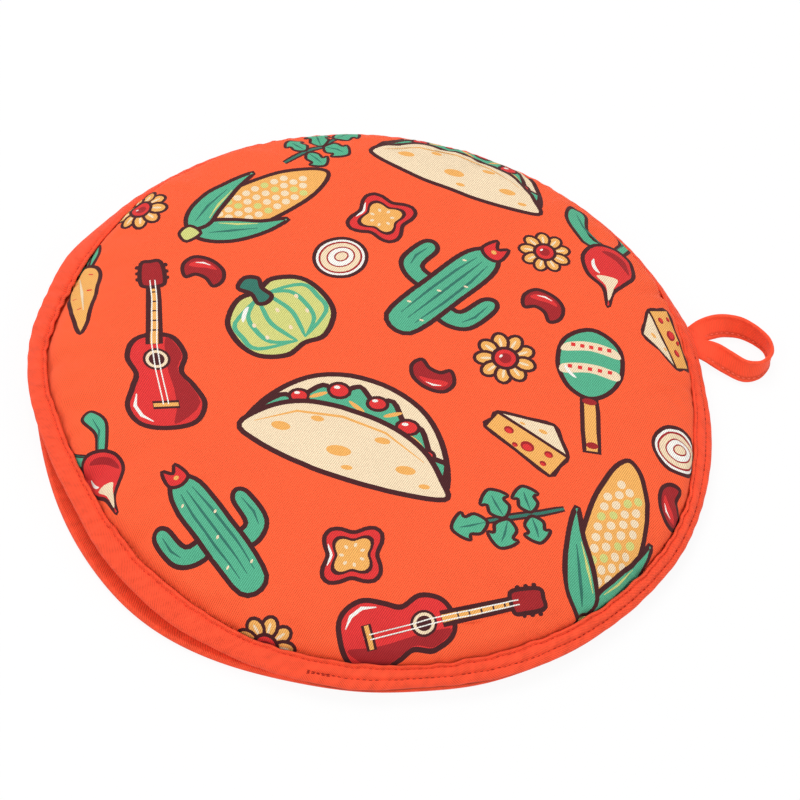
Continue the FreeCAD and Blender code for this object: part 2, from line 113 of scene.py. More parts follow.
class WarmerColours(bpy.types.PropertyGroup):
    """Colours of the cloth, the tapes and the print's inks."""

    cloth: colour("Cloth", "Ground colour of the printed cloth", (0.97, 0.114, 0.037))
    tape: colour("Tape", "Binding tape and hanging loop", (0.96, 0.087, 0.032))
    # The rims' threads, this one and the tape thread, are the loop's coral thread painted darker: painted
    # shade of the needle holes and dents the stitches lie in.
    thread: colour("Thread", "Sewing thread", (0.34, 0.013, 0.006))
    tape_thread: colour("Tape thread", "Thread along the bindings' inner edges", (0.62, 0.034, 0.015))
    edge_thread: colour("Edge thread", "Thread along the hanging loop's edges", (0.98, 0.17, 0.10))
    lining: colour("Lining", "Inner cloth", (0.82, 0.81, 0.78))
    padding: colour("Padding", "Fibre padding", (0.80, 0.79, 0.76))
    ink: colour("Ink", "Dark outlines of the print", (0.062, 0.013, 0.015))
    cream: colour("Cream", "Pale fills of the print", (0.86, 0.68, 0.46))
    mustard: colour("Mustard", "Yellow fills of the print", (0.86, 0.42, 0.11))
    lime: colour("Lime", "Yellow-green fills of the print", (0.62, 0.62, 0.20))
    leaf: colour("Leaf", "Mid-green fills of the print", (0.09, 0.42, 0.25))
    teal: colour("Teal", "Dark green fills of the print", (0.035, 0.17, 0.125))
    red: colour("Red", "Bright red fills of the print", (0.72, 0.035, 0.035))
    wine: colour("Wine", "Deep red fills of the print", (0.36, 0.018, 0.022))
    white: colour("White", "Highlights of the print", (0.88, 0.86, 0.80))


class WarmerStage(bpy.types.PropertyGroup):
    """Camera and lights."""

    azimuth: angle_in_degrees("Azimuth", "Camera's turn round the pouch", -23.2)
    elevation: angle_in_degrees("Elevation", "Camera's height over the table", 52.3)
    roll: angle_in_degrees("Roll", "Camera's turn about its own line of sight", 10.9)
    distance: length("Distance", "From the camera to the pouch", 1.3)
    focal_px: bpy.props.FloatProperty(
        name="Focal length", description="Focal length in picture heights", default=3.6664
    )


# ---- smooth numbers --------------------------------------------------------------------------


def ease(share):
    share = np.clip(share, 0.0, 1.0)
    return share * share * (3 - 2 * share)


def away_from(angle, middle):
    """Size of the angle between each direction and a middle one given in degrees."""
    return np.abs((angle - math.radians(middle) + math.pi) % TURN - math.pi)


def swell(angle, middle, width):
    """A soft bump round the rim, 1 at the middle. Middle and width are in degrees."""
    return np.exp(-((away_from(angle, middle) / math.radians(width)) ** 2))


def ripple(angle, seed, slowest=7, fastest=46, terms=16):
    """A smooth random wave round the rim, mostly between -1 and 1."""
    dice = np.random.default_rng(seed)
    counts = dice.integers(slowest, fastest, terms)
    phases, weights = dice.uniform(0, TURN, terms), dice.uniform(0.4, 1, terms)
    wave = sum(w * np.cos(n * angle + p) for n, p, w in zip(counts, phases, weights))
    return wave / (1.4 * np.sqrt((weights**2).sum() / 2))


def unit(vectors):
    """Vectors made one long."""
    return vectors / np.maximum(np.linalg.norm(vectors, axis=-1, keepdims=True), 1e-12)


def polar(places):
    """Distance from the middle and direction of each flat place."""
    return np.hypot(places[:, 0], places[:, 1]), np.arctan2(places[:, 1], places[:, 0])


def around(count, start=0.0):
    """Even directions all the way round. start is a share of the step between them."""
    return (np.arange(count) + start) * TURN / count


def circle(count, start=0.0):
    """Points all the way round a circle that is one in radius."""
    angles = around(count, start)
    return np.stack([np.cos(angles), np.sin(angles)], 1)


def surface_normals(face, places, step):
    """Directions out of a face that is given as a map from flat places."""
    across = face(places + (step, 0)) - face(places - (step, 0))
    along = face(places + (0, step)) - face(places - (0, step))
    return unit(np.cross(across, along))


# ---- the pouch's form ------------------------------------------------------------------------

FAR_MIDDLE, FAR_REACH, FAR_FADE = 66, 52, 34   # where the rim is rolled down, in degrees
CROWN_MIDDLE = 50                              # middle of the side seen over the crown, in degrees
CROWN_REACH, CROWN_FADE = 1.75, 0.5            # of that side, in radians
DOME_FLATNESS, DOME_FULLNESS, DOME_STEPS = 3.0, 2.5, 600
CLOTH_INSET = 2.4 * MM        # the upper cloth's edge, cut flat, from the tape's outer edge
CLOTH_END = 3.2 * MM          # the same edge once it is sewn, from the rim
LOWER_CLOTH_INSET = 5.6 * MM  # edge of the lower panel's plies, from the rim
SEAM_START, SEAM_END = -115.0, 117   # ends of the joining seam round the rim, in degrees

TAPE_MM = 11   # width of the tape's top, in which the stitch rows and ridges across it are measured
INNER_ROW, SEAM_ROW = 0.23, 0.77   # places of the stitch rows across the tape, as shares of its top
TOP_LEG = (   # places of the points across the tape's top
    0, 0.03, 0.07, 0.11, 0.15, 0.19, INNER_ROW, 0.27, 0.31, 0.38,
    0.46, 0.56, 0.64, 0.69, 0.73, SEAM_ROW, 0.81, 0.85, 0.92, 1,
)
BASE_LEG = (0.25, 0.5, 0.75, 1.0)   # places of the points across its base
FOLD_STEPS = 8                      # points round the upper tape's folded edge
LOWER_FOLD_STEPS = 10
GATHERED = len(TOP_LEG) + 6         # points of the section that the gathers reach
TOP_LEAN = 0.12                     # turn of the tape's top past the line between its edges, in radians
SHADOW_EDGE_SLOPE = math.radians(38)      # slope of the line past the upper rim's edge that bounds the shadow painted in the cleft between the two rims


def far_roll(angle):
    """How far the upper rim is rolled down: 1 on the side away from the mouth's near end."""
    away = np.degrees(away_from(angle, FAR_MIDDLE))
    return 1 - ease((away - FAR_REACH) / FAR_FADE)


def far_side(angle):
    """1 on the side where the panel's edge is seen over its own crown, 0 on the near side."""
    return ease((CROWN_REACH - away_from(angle, CROWN_MIDDLE)) / CROWN_FADE)


def seam_share(angle):
    """1 where the two rims are sewn together, 0 along the mouth."""
    degrees = np.degrees((angle + math.pi) % TURN) - 180
    return ease((degrees - SEAM_START + 1.5) / 3) * ease((SEAM_END + 1.5 - degrees) / 3)


def ridge(share, row, width):
    """A soft ridge along the tape, 1 at its row. The width is in mm."""
    return np.exp(-(((share - row) * TAPE_MM / width) ** 2))


def dome_table(sizes):
    """Lengths over the dome from its middle, with the share of radius and of height at each."""
    turn = np.linspace(0, math.pi / 2, DOME_STEPS)
    radius = np.sin(turn) ** (2 / DOME_FLATNESS)
    height = np.cos(turn) ** (2 / DOME_FULLNESS)
    steps = np.hypot(
        np.diff(radius) * (sizes.rim_radius - sizes.tape_width),
        np.diff(height) * (sizes.crown - sizes.crease),
    )
    return np.concatenate([[0], np.cumsum(steps)]), radius, height


class Rim:
    """Lines of the closed upper rim at the given angles."""

    def __init__(self, sizes, angle):
        roll = far_roll(angle)
        wave = ripple(angle, 3)
        tails = swell(angle, 1.2, 5.4)
        # The mouth's lip is drawn in at its middle, and the sewn front is spread out and lies lower.
        drawn_in = swell(angle, 191, 17)
        spread = swell(angle, 256, 34)
        self.angle = angle
        self.inner_radius = sizes.rim_radius - sizes.tape_width + MM * (
            2.4 * roll - 2.7 * drawn_in + 2.0 * spread + 0.22 * wave
            + 4.2 * swell(angle, 318, 16) + 2.3 * swell(angle, 294, 18) + 1.2 * swell(angle, 235, 10)
            + 2.8 * swell(angle, 167, 12)
        )
        self.inner_height = sizes.crease + MM * (
            4.6 * roll - 1.7 * spread + 0.16 * ripple(angle, 5) + 0.5 * tails
        )
        self.rounding = (2.05 + 0.12 * ripple(angle, 8)) * MM
        self.outer_radius = sizes.rim_radius + MM * (
            1.6 * spread - 5.2 * drawn_in - 2.0 * swell(angle, 348, 11) - 1.8 * swell(angle, 266, 12)
            + 0.9 * swell(angle, 314, 8) - 0.3 * roll
            + 0.25 * ripple(angle, 4, 5, 24)
        )
        self.base = sizes.rim_height + (0.35 + 0.8 * tails) * MM
        self.outer_height = self.base + self.rounding + (0.45 - 0.5 * roll) * MM


PUCKERS = [  # angle round the rim, depth in mm, width in degrees, reach in mm
    (10.2, 1.9, 1.1, 9), (8.0, -0.9, 0.8, 9), (-11.4, 1.9, 1.0, 10), (-13.9, 1.1, 0.8, 8),
    (-2.7, 1.0, 0.7, 8), (1.2, 0.8, 0.7, 7), (5.0, -0.6, 0.9, 8), (180.0, 0.8, 2.2, 20),
    (188.0, -0.8, 2.4, 22), (193.8, 2.1, 1.7, 26), (202.5, -0.8, 2.6, 22), (209.6, 1.7, 1.7, 28),
    (231.0, 1.1, 1.4, 16), (243.0, 0.8, 1.2, 12), (293.4, 1.7, 1.4, 24), (300.0, -0.7, 2.4, 18),
    (307.0, 1.2, 1.2, 16), (168.0, 1.0, 1.5, 15), (152.0, 0.8, 1.3, 12), (336.0, 0.9, 1.1, 11),
]


def seeded_puckers(count=70):
    dice = np.random.default_rng(11)
    return list(zip(
        dice.uniform(0, 360, count), dice.uniform(0.2, 0.75, count),
        dice.uniform(0.5, 1.2, count), dice.uniform(3, 10, count),
    ))


LUMPS = [  # place in mm, height in mm, width in mm
    (-60, -95, -0.7, 30), (40, -100, 0.5, 35), (-105, 20, -0.6, 28), (95, 30, 0.6, 35),
    (-30, 60, 0.5, 45), (10, -40, -0.5, 40), (80, -60, -0.5, 30), (30, 105, 0.5, 35),
    (-95, -60, 0.4, 22),
]


class UpperPanel:
    """The upper panel's outer face, as a map from the flat cut cloth to the finished pouch."""

    def __init__(self, sizes):
        self.sizes = sizes
        self.lengths, self.radii, self.heights = dome_table(sizes)
        self.field = float(self.lengths[-1])
        self.edge = self.field + sizes.tape_width - CLOTH_INSET
        self.puckers = PUCKERS + seeded_puckers()
        self.billow = None

    def face(self, cloth, depth=0.0):
        """Points of the face, or of a ply at a depth under it. cloth holds flat x and y."""
        points = self.relaxed(cloth)
        if depth:
            points = points - self.normals(cloth) * depth
        return self.opened(points)

    def under(self, cloth, depth):
        """Points under the face at depths measured down, kept over the binding's lower leg."""
        down = unit(self.normals(cloth) * 0.5 + (0, 0, 0.5))
        return self.opened(self.relaxed(cloth) - down * np.reshape(depth, (-1, 1)))

    def relaxed(self, cloth):
        """The closed panel, with its padding's billow where that is known."""
        along, angle = polar(cloth)
        points = self.sewn(along, angle)
        if self.billow is not None:
            points = points + self.sampled_billow(along, angle)
        return points

    def sewn(self, along, angle):
        """The closed panel as it is sewn, without the billowing of its padding."""
        rim = Rim(self.sizes, angle)
        within = np.minimum(along, self.field)
        share = np.interp(within, self.lengths, self.radii)
        rise = np.interp(within, self.lengths, self.heights)
        # The tape's edge stands proud of the cloth, but not where the panel rolls over the far rim.
        sunk = 1 - 0.85 * far_side(angle)
        foot = rim.inner_height - 1.7 * MM * sunk
        radius = share * (rim.inner_radius - 0.6 * MM * sunk)
        height = foot + (self.sizes.crown - foot) * rise
        ux, uy = np.cos(angle), np.sin(angle)
        x, y = radius * ux, radius * uy
        for at_x, at_y, lump, width in LUMPS:
            away = ((x / MM - at_x) ** 2 + (y / MM - at_y) ** 2) / width**2
            height = height + lump * MM * np.exp(-away) * ease((self.field - along) / (20 * MM))
        pull = np.zeros_like(along)
        for middle, depth, width, reach in self.puckers:
            fade = np.exp(-(self.field - within) / (reach * MM))
            pull += depth * MM * swell(angle, middle, width) * fade
        pull *= ease((self.field - along) / (1.2 * MM)) * 0.85 + 0.15
        x, y, height = x - 0.6 * pull * ux, y - 0.6 * pull * uy, height - 0.8 * pull
        # Under the tape the cloth runs out between its two legs.
        under = np.clip((along - self.field) / (self.edge - self.field), 0, 1)
        radius = np.hypot(x, y)
        end_radius, end_height = rim.outer_radius - CLOTH_END, rim.outer_height + 0.4 * MM
        stretch = (radius + (end_radius - radius) * under) / np.maximum(radius, 1e-9)
        height = height + (end_height - height) * under
        return np.stack([x * stretch, y * stretch, height], 1)

    def normals(self, cloth):
        return surface_normals(self.relaxed, cloth, 0.4 * MM)

    def opened(self, points):
        """Closed points with the mouth's side lifted about the fold."""
        share = ease((FOLD[0] - points[:, 0]) / (FOLD[0] - MOUTH_SIDE[0]))
        turn = self.sizes.mouth_lift * share
        x, z = points[:, 0] - FOLD[0], points[:, 2] - FOLD[2]
        cos, sin = np.cos(turn), np.sin(turn)
        lifted = (FOLD[0] + x * cos + z * sin, points[:, 1], FOLD[2] - x * sin + z * cos)
        return np.stack(lifted, 1)

    def sampled_billow(self, along, angle):
        """The billow at any place, between the places where it was worked out."""
        rings, stations = self.billow.shape[:2]
        ring = np.clip(along / self.field, 0, 1) * (rings - 1)
        station = (angle % TURN) / TURN * stations
        low, first = np.minimum(ring.astype(int), rings - 2), station.astype(int)
        a, b = (ring - low)[:, None], (station - first)[:, None]
        first, second = first % stations, (first + 1) % stations
        near, far = (
            self.billow[row, first] * (1 - b) + self.billow[row, second] * b for row in (low, low + 1)
        )
        return (near * (1 - a) + far * a) * (along <= self.field)[:, None]


BILLOW_STEPS = 20          # of the simulation
BILLOW_MOST = 1.6 * MM     # no point of the cloth moves further than this
BILLOW_START = 0.08 * MM   # unevenness from which its folds grow
HELD_RINGS = 2             # outermost rings of points that stay where they are sewn
BILLOW_CLOTH = {
    "quality": 6, "mass": 0.25, "bending_stiffness": 0.9, "tension_stiffness": 18,
    "compression_stiffness": 18, "shear_stiffness": 18, "vertex_group_mass": "held",
    "shrink_min": -0.012, "use_pressure": True, "uniform_pressure_force": 4,
}


def billow_padding(panel, rings=40, stations=220):
    """Let the sewn panel's padding push its cloth out, held at the rim, and keep the difference."""
    lengths = np.linspace(0, panel.field, rings)
    along, angle = np.repeat(lengths[1:], stations), np.tile(around(stations), rings - 1)
    points = np.concatenate([panel.sewn(np.zeros(1), np.zeros(1)), panel.sewn(along, angle)])
    start = points + np.random.default_rng(2).normal(0, BILLOW_START, points.shape)
    cloth = mesh_object("billowing_cloth", start, disc_faces(rings - 1, stations))
    held = cloth.vertex_groups.new(name="held")
    first_held = 1 + (rings - 1 - HELD_RINGS) * stations
    held.add(list(range(first_held, len(points))), 1.0, "REPLACE")
    modifier = cloth.modifiers.new("billow", "CLOTH")
    for name, setting in BILLOW_CLOTH.items():
        setattr(modifier.settings, name, setting)
    modifier.settings.effector_weights.gravity = 0
    modifier.collision_settings.use_collision = False
    modifier.point_cache.frame_start, modifier.point_cache.frame_end = 1, BILLOW_STEPS
    scene = bpy.context.scene
    for step in range(1, BILLOW_STEPS + 1):
        scene.frame_set(step)
    settled = cloth.evaluated_get(bpy.context.evaluated_depsgraph_get())
    moved = np.zeros(len(points) * 3)
    settled.data.vertices.foreach_get("co", moved)
    moved = moved.reshape(-1, 3) - points
    scene.frame_set(1)
    bpy.data.objects.remove(cloth)
    size = np.linalg.norm(moved, axis=1, keepdims=True)
    moved *= BILLOW_MOST * np.tanh(size / BILLOW_MOST) / np.maximum(size, 1e-12)
    print("billow of the padding, mm: most", round(float(size.max() / MM), 2),
          "mean", round(float(size.mean() / MM), 2))
    billow = np.concatenate([np.repeat(moved[:1], stations, 0), moved[1:]])
    return billow.reshape(rings, stations, 3)


def upper_tape_section(rim):
    """Outer line of the upper binding's section at each angle, from its inner top edge to its base."""
    top_in = np.stack([rim.inner_radius, rim.inner_height], 1)
    centre = np.stack([rim.outer_radius - rim.rounding, rim.outer_height], 1)
    fall = centre - top_in
    slope = np.arctan2(-fall[:, 1], fall[:, 0]) - TOP_LEAN

    def facing(bend):
        return np.stack([np.sin(bend), np.cos(bend)], 1)

    first = centre + rim.rounding[:, None] * facing(slope)
    rows = []
    for share in TOP_LEG:
        puff = 0.85 * MM * np.sin(math.pi * share) ** 0.8
        lip = 0.72 * MM * ridge(share, 0.09, 0.9)
        dents = 0.6 * MM * ridge(share, INNER_ROW, 0.75)
        seam = 0.9 * MM * ridge(share, SEAM_ROW, 1.1) * seam_share(rim.angle)
        lift = np.reshape(puff + lip - dents - seam, (-1, 1))
        rows.append(top_in + (first - top_in) * share + facing(slope) * lift)
    for turn in np.linspace(0, 1, FOLD_STEPS + 1)[1:]:
        rows.append(centre + rim.rounding[:, None] * facing(slope + (math.pi - slope) * turn))
    base_out = rows[-1]
    base_in = np.stack([rim.inner_radius + 0.4 * MM, rim.base + 0.05 * MM], 1)
    return np.stack(rows + [base_out + (base_in - base_out) * share for share in BASE_LEG])


def lower_tape_section(sizes, angle):
    """Outer line of the lower binding's section, from its inner top edge round to its base."""
    top, base = sizes.rim_height, 0.1 * MM
    reach = sizes.rim_radius + MM * (
        5.6 * swell(angle, 219, 18) - 2.2 * swell(angle, 176, 12) - 0.6 * swell(angle, 262, 9)
        - 0.6 * swell(angle, 310, 34) - 1.8 * swell(angle, 352, 20) - 1.0 + 0.2 * ripple(angle, 21, 5, 24)
    )
    inner = sizes.rim_radius - sizes.tape_width + 0.2 * MM * ripple(angle, 23)
    rounding = (top - 0.15 * MM) / 2
    rows = []
    for share in TOP_LEG:
        puff = 0.25 * MM * math.sin(math.pi * share) - 0.3 * MM * ridge(share, INNER_ROW, 1.1)
        rows.append((inner + (reach - rounding - inner) * share, top - 0.25 * MM + puff))
    for turn in np.linspace(0, 1, LOWER_FOLD_STEPS + 1)[1:]:
        bend = math.pi * turn
        rows.append((reach - rounding + rounding * math.sin(bend),
                     base + rounding + rounding * math.cos(bend)))
    for share in BASE_LEG:
        rows.append((reach - rounding + (inner - reach + rounding) * share, base))
    return np.stack([np.stack([radius, np.full_like(radius, height)], 1) for radius, height in rows])


def puckered(section, angle, seed=31):
    """Small gathers along the tape, strongest at its inner edge."""
    wave = ripple(angle, seed, 60, 150, 22)
    slow = ripple(angle, seed + 1, 14, 50, 12)
    strength = 0.16 + 0.30 * np.exp(-(((np.arange(len(section)) - 2) / 5) ** 2))[:, None]
    strength[GATHERED:] = 0
    moved = section.copy()
    moved[..., 1] += strength * (0.7 * wave + 0.6 * slow) * MM
    moved[..., 0] += strength * 0.5 * np.roll(wave, 5) * MM
    return moved


def upper_tape(sizes, angle):
    """The upper binding's section with its gathers, at the given angles."""
    return puckered(upper_tape_section(Rim(sizes, angle)), angle)


def on_tape(section, angle, row):
    """The line on a tape's outer face where a row of stitches lies."""
    return revolve(section[row: row + 1] - (0, 0.02 * MM), angle)


def upper_painted_shade(section, angle):
    """Painted shade on the upper tape: darker in the shallow creases of the stitch rows, and on the base,
    which is pressed on the lower rim.
    """
    painted_shade, tops, sewn = np.zeros(section.shape[:2]), len(TOP_LEG), seam_share(angle)
    shares = np.array(TOP_LEG)[:, None]
    painted_shade[:tops] = 0.1 * ridge(shares, INNER_ROW, 0.6) + 0.12 * ridge(shares, SEAM_ROW, 0.6) * sewn
    painted_shade[tops + FOLD_STEPS // 2:] += sewn
    return painted_shade


def lower_painted_shadow(sizes, section, angle):
    """Painted shadow on the lower tape: where the rims are sewn together, it is dark in the cleft under the
    upper one's edge.
    """
    rim = Rim(sizes, angle)
    out, down = math.cos(SHADOW_EDGE_SLOPE), math.sin(SHADOW_EDGE_SLOPE)
    edge = (rim.outer_radius - rim.rounding) * out - rim.outer_height * down + rim.rounding
    past = section[..., 0] * out - section[..., 1] * down - edge
    dark = 1 - ease((past - 0.25 * MM) / (0.6 * MM))
    return np.where(section[..., 1] > sizes.rim_height / 4, dark, 0) * seam_share(angle)


def lower_face(places, inner, field, rim):
    """A face of the lower panel that is flat in its field and raised under the tape."""
    raised = ease((polar(places)[0] - inner + 3 * MM) / (3 * MM))
    return np.column_stack([places, field + (rim - field) * raised])


def lower_lid(places, inner):
    """Top of the lower lining, puffed in its field."""
    along, angle = polar(places)
    puff = ease((inner - 1 * MM - along) / (7 * MM))
    wave = 0.12 * MM * ripple(angle, 41, 20, 60) * np.exp(-(np.maximum(inner - along, 0) / (8 * MM)))
    return np.column_stack([places, (3.3 + 2.0 * puff) * MM + wave])


# ---- meshes ----------------------------------------------------------------------------------


def put(name, data):
    """A new object in the scene."""
    made = bpy.data.objects.new(name, data)
    bpy.context.scene.collection.objects.link(made)
    return made


def mesh_object(name, points, faces, materials=(), smooth=True):
    mesh = bpy.data.meshes.new(name)
    points = [tuple(point) for point in np.asarray(points, float)]
    mesh.from_pydata(points, [], [tuple(map(int, face)) for face in faces])
    mesh.update()
    if smooth:
        mesh.shade_smooth()
    for coat in materials:
        mesh.materials.append(coat)
    return put(name, mesh)


def set_uv(piece, name, places):
    """Give each corner of the mesh its vertex's place on the cloth, in metres."""
    mesh = piece.data
    layer = mesh.uv_layers.new(name=name)
    corners = np.zeros(len(mesh.loops), int)
    mesh.loops.foreach_get("vertex_index", corners)
    layer.data.foreach_set("uv", np.asarray(places, np.float32)[corners].ravel())


def boundary(faces):
    """Directed edges that only one face has."""
    edges = {(f[k], f[(k + 1) % len(f)]) for f in faces for k in range(len(f))}
    return [edge for edge in edges if (edge[1], edge[0]) not in edges]


def two_sided(outer, inner, faces):
    """Close a sheet between its outer and inner points."""
    count = len(outer)
    back = [tuple(count + v for v in reversed(face)) for face in faces]
    walls = [(b, a, count + a, count + b) for a, b in boundary(faces)]
    return np.concatenate([outer, inner]), list(faces) + back + walls


def ply(name, outer, inner, faces, cloth, places=None):
    """A closed layer between two faces. places say where each point lies on the flat cut cloth."""
    points, closed = two_sided(outer, inner, faces)
    piece = mesh_object(name, points, closed, [material(cloth)])
    if places is not None:
        set_uv(piece, "cut", np.concatenate([places, places]))
    return piece


def ring_faces(rows, stations, first=0):
    """Faces between rings of points, in squares."""
    faces = []
    for row in range(rows - 1):
        a, b = first + row * stations, first + (row + 1) * stations
        for k in range(stations):
            after = (k + 1) % stations
            faces.append((a + k, b + k, b + after, a + after))
    return faces


def disc_faces(rings, stations):
    """Faces of a middle point and rings about it, counted from the middle."""
    fan = [(0, 1 + k, 1 + (k + 1) % stations) for k in range(stations)]
    return fan + ring_faces(rings, stations, 1)


def disc_grid(radius, rings, stations, crowding=1.6):
    """Flat places of a middle point and rings that crowd towards the edge."""
    shares = 1 - (1 - np.arange(1, rings + 1) / rings) ** crowding
    return np.concatenate([[(0.0, 0.0)]] + [circle(stations) * radius * share for share in shares])


def revolve(section, angle):
    """Points of a section whose rows hold radius and height at each angle."""
    radius, height = section[..., 0], section[..., 1]
    return np.stack([radius * np.cos(angle), radius * np.sin(angle), height], -1).reshape(-1, 3)


def inset(section, thickness):
    """A section's line moved to its inner side by a thickness."""
    run = unit(np.gradient(section, axis=0))
    return section + np.stack([run[..., 1], -run[..., 0]], -1) * thickness


def lengths_along(line):
    """Length of a line of points up to each of them."""
    return np.concatenate([[0], np.cumsum(np.linalg.norm(np.diff(line, axis=0), axis=1))])


def tape_ring(name, section, thickness, angle, painted_shade, opened=lambda points: points):
    """Folded tape all the way round a rim, darkened by the painted shade given for each point where it lies
    in a seam or cleft.
    """
    outer, inner = (opened(revolve(line, angle)) for line in (section, inset(section, thickness)))
    rows, stations = section.shape[:2]
    faces = [tuple(reversed(face)) for face in ring_faces(rows, stations)]
    piece = ply(name, outer, inner, faces, "tape_weave")
    lengths = angle * section[:, :, 0].max()
    place = np.stack([np.tile(lengths, rows), np.repeat(lengths_along(section[:, 0]), stations)], 1)
    set_uv(piece, "tape", np.concatenate([place, place]))
    store_painted_shade(piece, np.tile(painted_shade.ravel(), 2))
    mend_wrap(piece, lengths[-1] + lengths[1])
    return piece


def store_painted_shade(piece, painted_shade):
    """Keep how much painted shade each point has, where shade falls in a seam or cleft, for the tape's
    colour.
    """
    layer = piece.data.attributes.new("crease", "FLOAT", "POINT")
    layer.data.foreach_set("value", np.clip(painted_shade, 0, 1).astype(np.float32))


def mend_wrap(piece, whole):
    """Where a face crosses the start of the tape's length, count its corners on past the end."""
    mesh, layer = piece.data, piece.data.uv_layers[0].data
    places = np.zeros(len(mesh.loops) * 2, np.float32)
    layer.foreach_get("uv", places)
    places = places.reshape(-1, 2)
    for face in mesh.polygons:
        corners = list(face.loop_indices)
        if np.ptp(places[corners, 0]) > whole / 2:
            low = [c for c in corners if places[c, 0] < whole / 2]
            places[low, 0] += whole
    layer.foreach_set("uv", places.ravel())


# ---- materials -------------------------------------------------------------------------------


class Tree:
    """Short words for building a node tree."""

    def __init__(self, tree):
        self.tree = tree

    def add(self, kind, vector=None, **settings):
        node = self.tree.nodes.new(kind)
        if vector is not None:
            self.link(vector, node.inputs["Vector"])
        for name, setting in settings.items():
            if name in node.inputs:
                node.inputs[name].default_value = setting
            else:
                setattr(node, name, setting)
        return node

    def link(self, output, socket):
        self.tree.links.new(output, socket)

    def math(self, operation, *sources):
        node = self.add("ShaderNodeMath", operation=operation)
        for socket, source in zip(node.inputs, sources):
            if isinstance(source, (int, float)):
                socket.default_value = source
            else:
                self.link(source, socket)
        return node.outputs[0]

    def swing(self, output, amount):
        """A texture's value made to swing about zero."""
        return self.math("MULTIPLY", self.math("SUBTRACT", output, 0.5), amount)

    def bump(self, height, strength, distance, over=None):
        """Relief, perhaps laid over another one."""
        node = self.add("ShaderNodeBump", Strength=strength, Distance=distance)
        self.link(height, node.inputs["Height"])
        if over is not None:
            self.link(over, node.inputs["Normal"])
        return node.outputs[0]

    def seen(self):
        """1 for rays that show the thing itself, 0 for rays that only carry its light."""
        path = self.add("ShaderNodeLightPath")
        mirrored = self.math("MAXIMUM", path.outputs["Is Glossy Ray"], path.outputs["Is Transmission Ray"])
        return self.math("MAXIMUM", path.outputs["Is Camera Ray"], mirrored)


def new_material(name, **settings):
    """A material, its tree and its shader. Words of a setting are joined by _."""
    made = bpy.data.materials.new(name)
    made.use_nodes = True
    shader = made.node_tree.nodes["Principled BSDF"]
    for setting, number in settings.items():
        shader.inputs[setting.replace("_", " ")].default_value = number
    return made, Tree(made.node_tree), shader


def colour_by_level(tree, shader, tint, level):
    """The shader's colour: a tint, or a node's colour, times a level of brightness."""
    scaled = tree.add("ShaderNodeVectorMath", operation="SCALE")
    if isinstance(tint, bpy.types.NodeSocket):
        tree.link(tint, scaled.inputs[0])
    else:
        scaled.inputs[0].default_value = tint
    tree.link(level, scaled.inputs["Scale"])
    tree.link(scaled.outputs[0], shader.inputs["Base Color"])


BANDS = TURN / 20      # scale of a wave texture that repeats once per metre
CROSS_THREADS = 0.62   # pitch of the cross threads, as a share of the ridges' pitch
CLOTHS = {  # colour, UV map, pitch in mm, slant in degrees, contrast of the shade painted between the ridges, relief, roughness, sheen, strength of the light and shade painted on the wrinkles
    "printed_twill": (None, "cut", 0.82, 45, 0.6, 0.8, 0.75, 0.05, 0.0),
    "tape_weave": ("tape", "tape", 0.8, 45, 0.42, 0.8, 0.66, 0.06, 0.5),
    "loop_weave": ("tape", "tape", 0.8, 45, 0.14, 0.4, 0.62, 0.08, 0.22),
    "lining_weave": ("lining", "cut", 0.7, 0, 0.10, 0.4, 0.75, 0.2, 0.0),
}


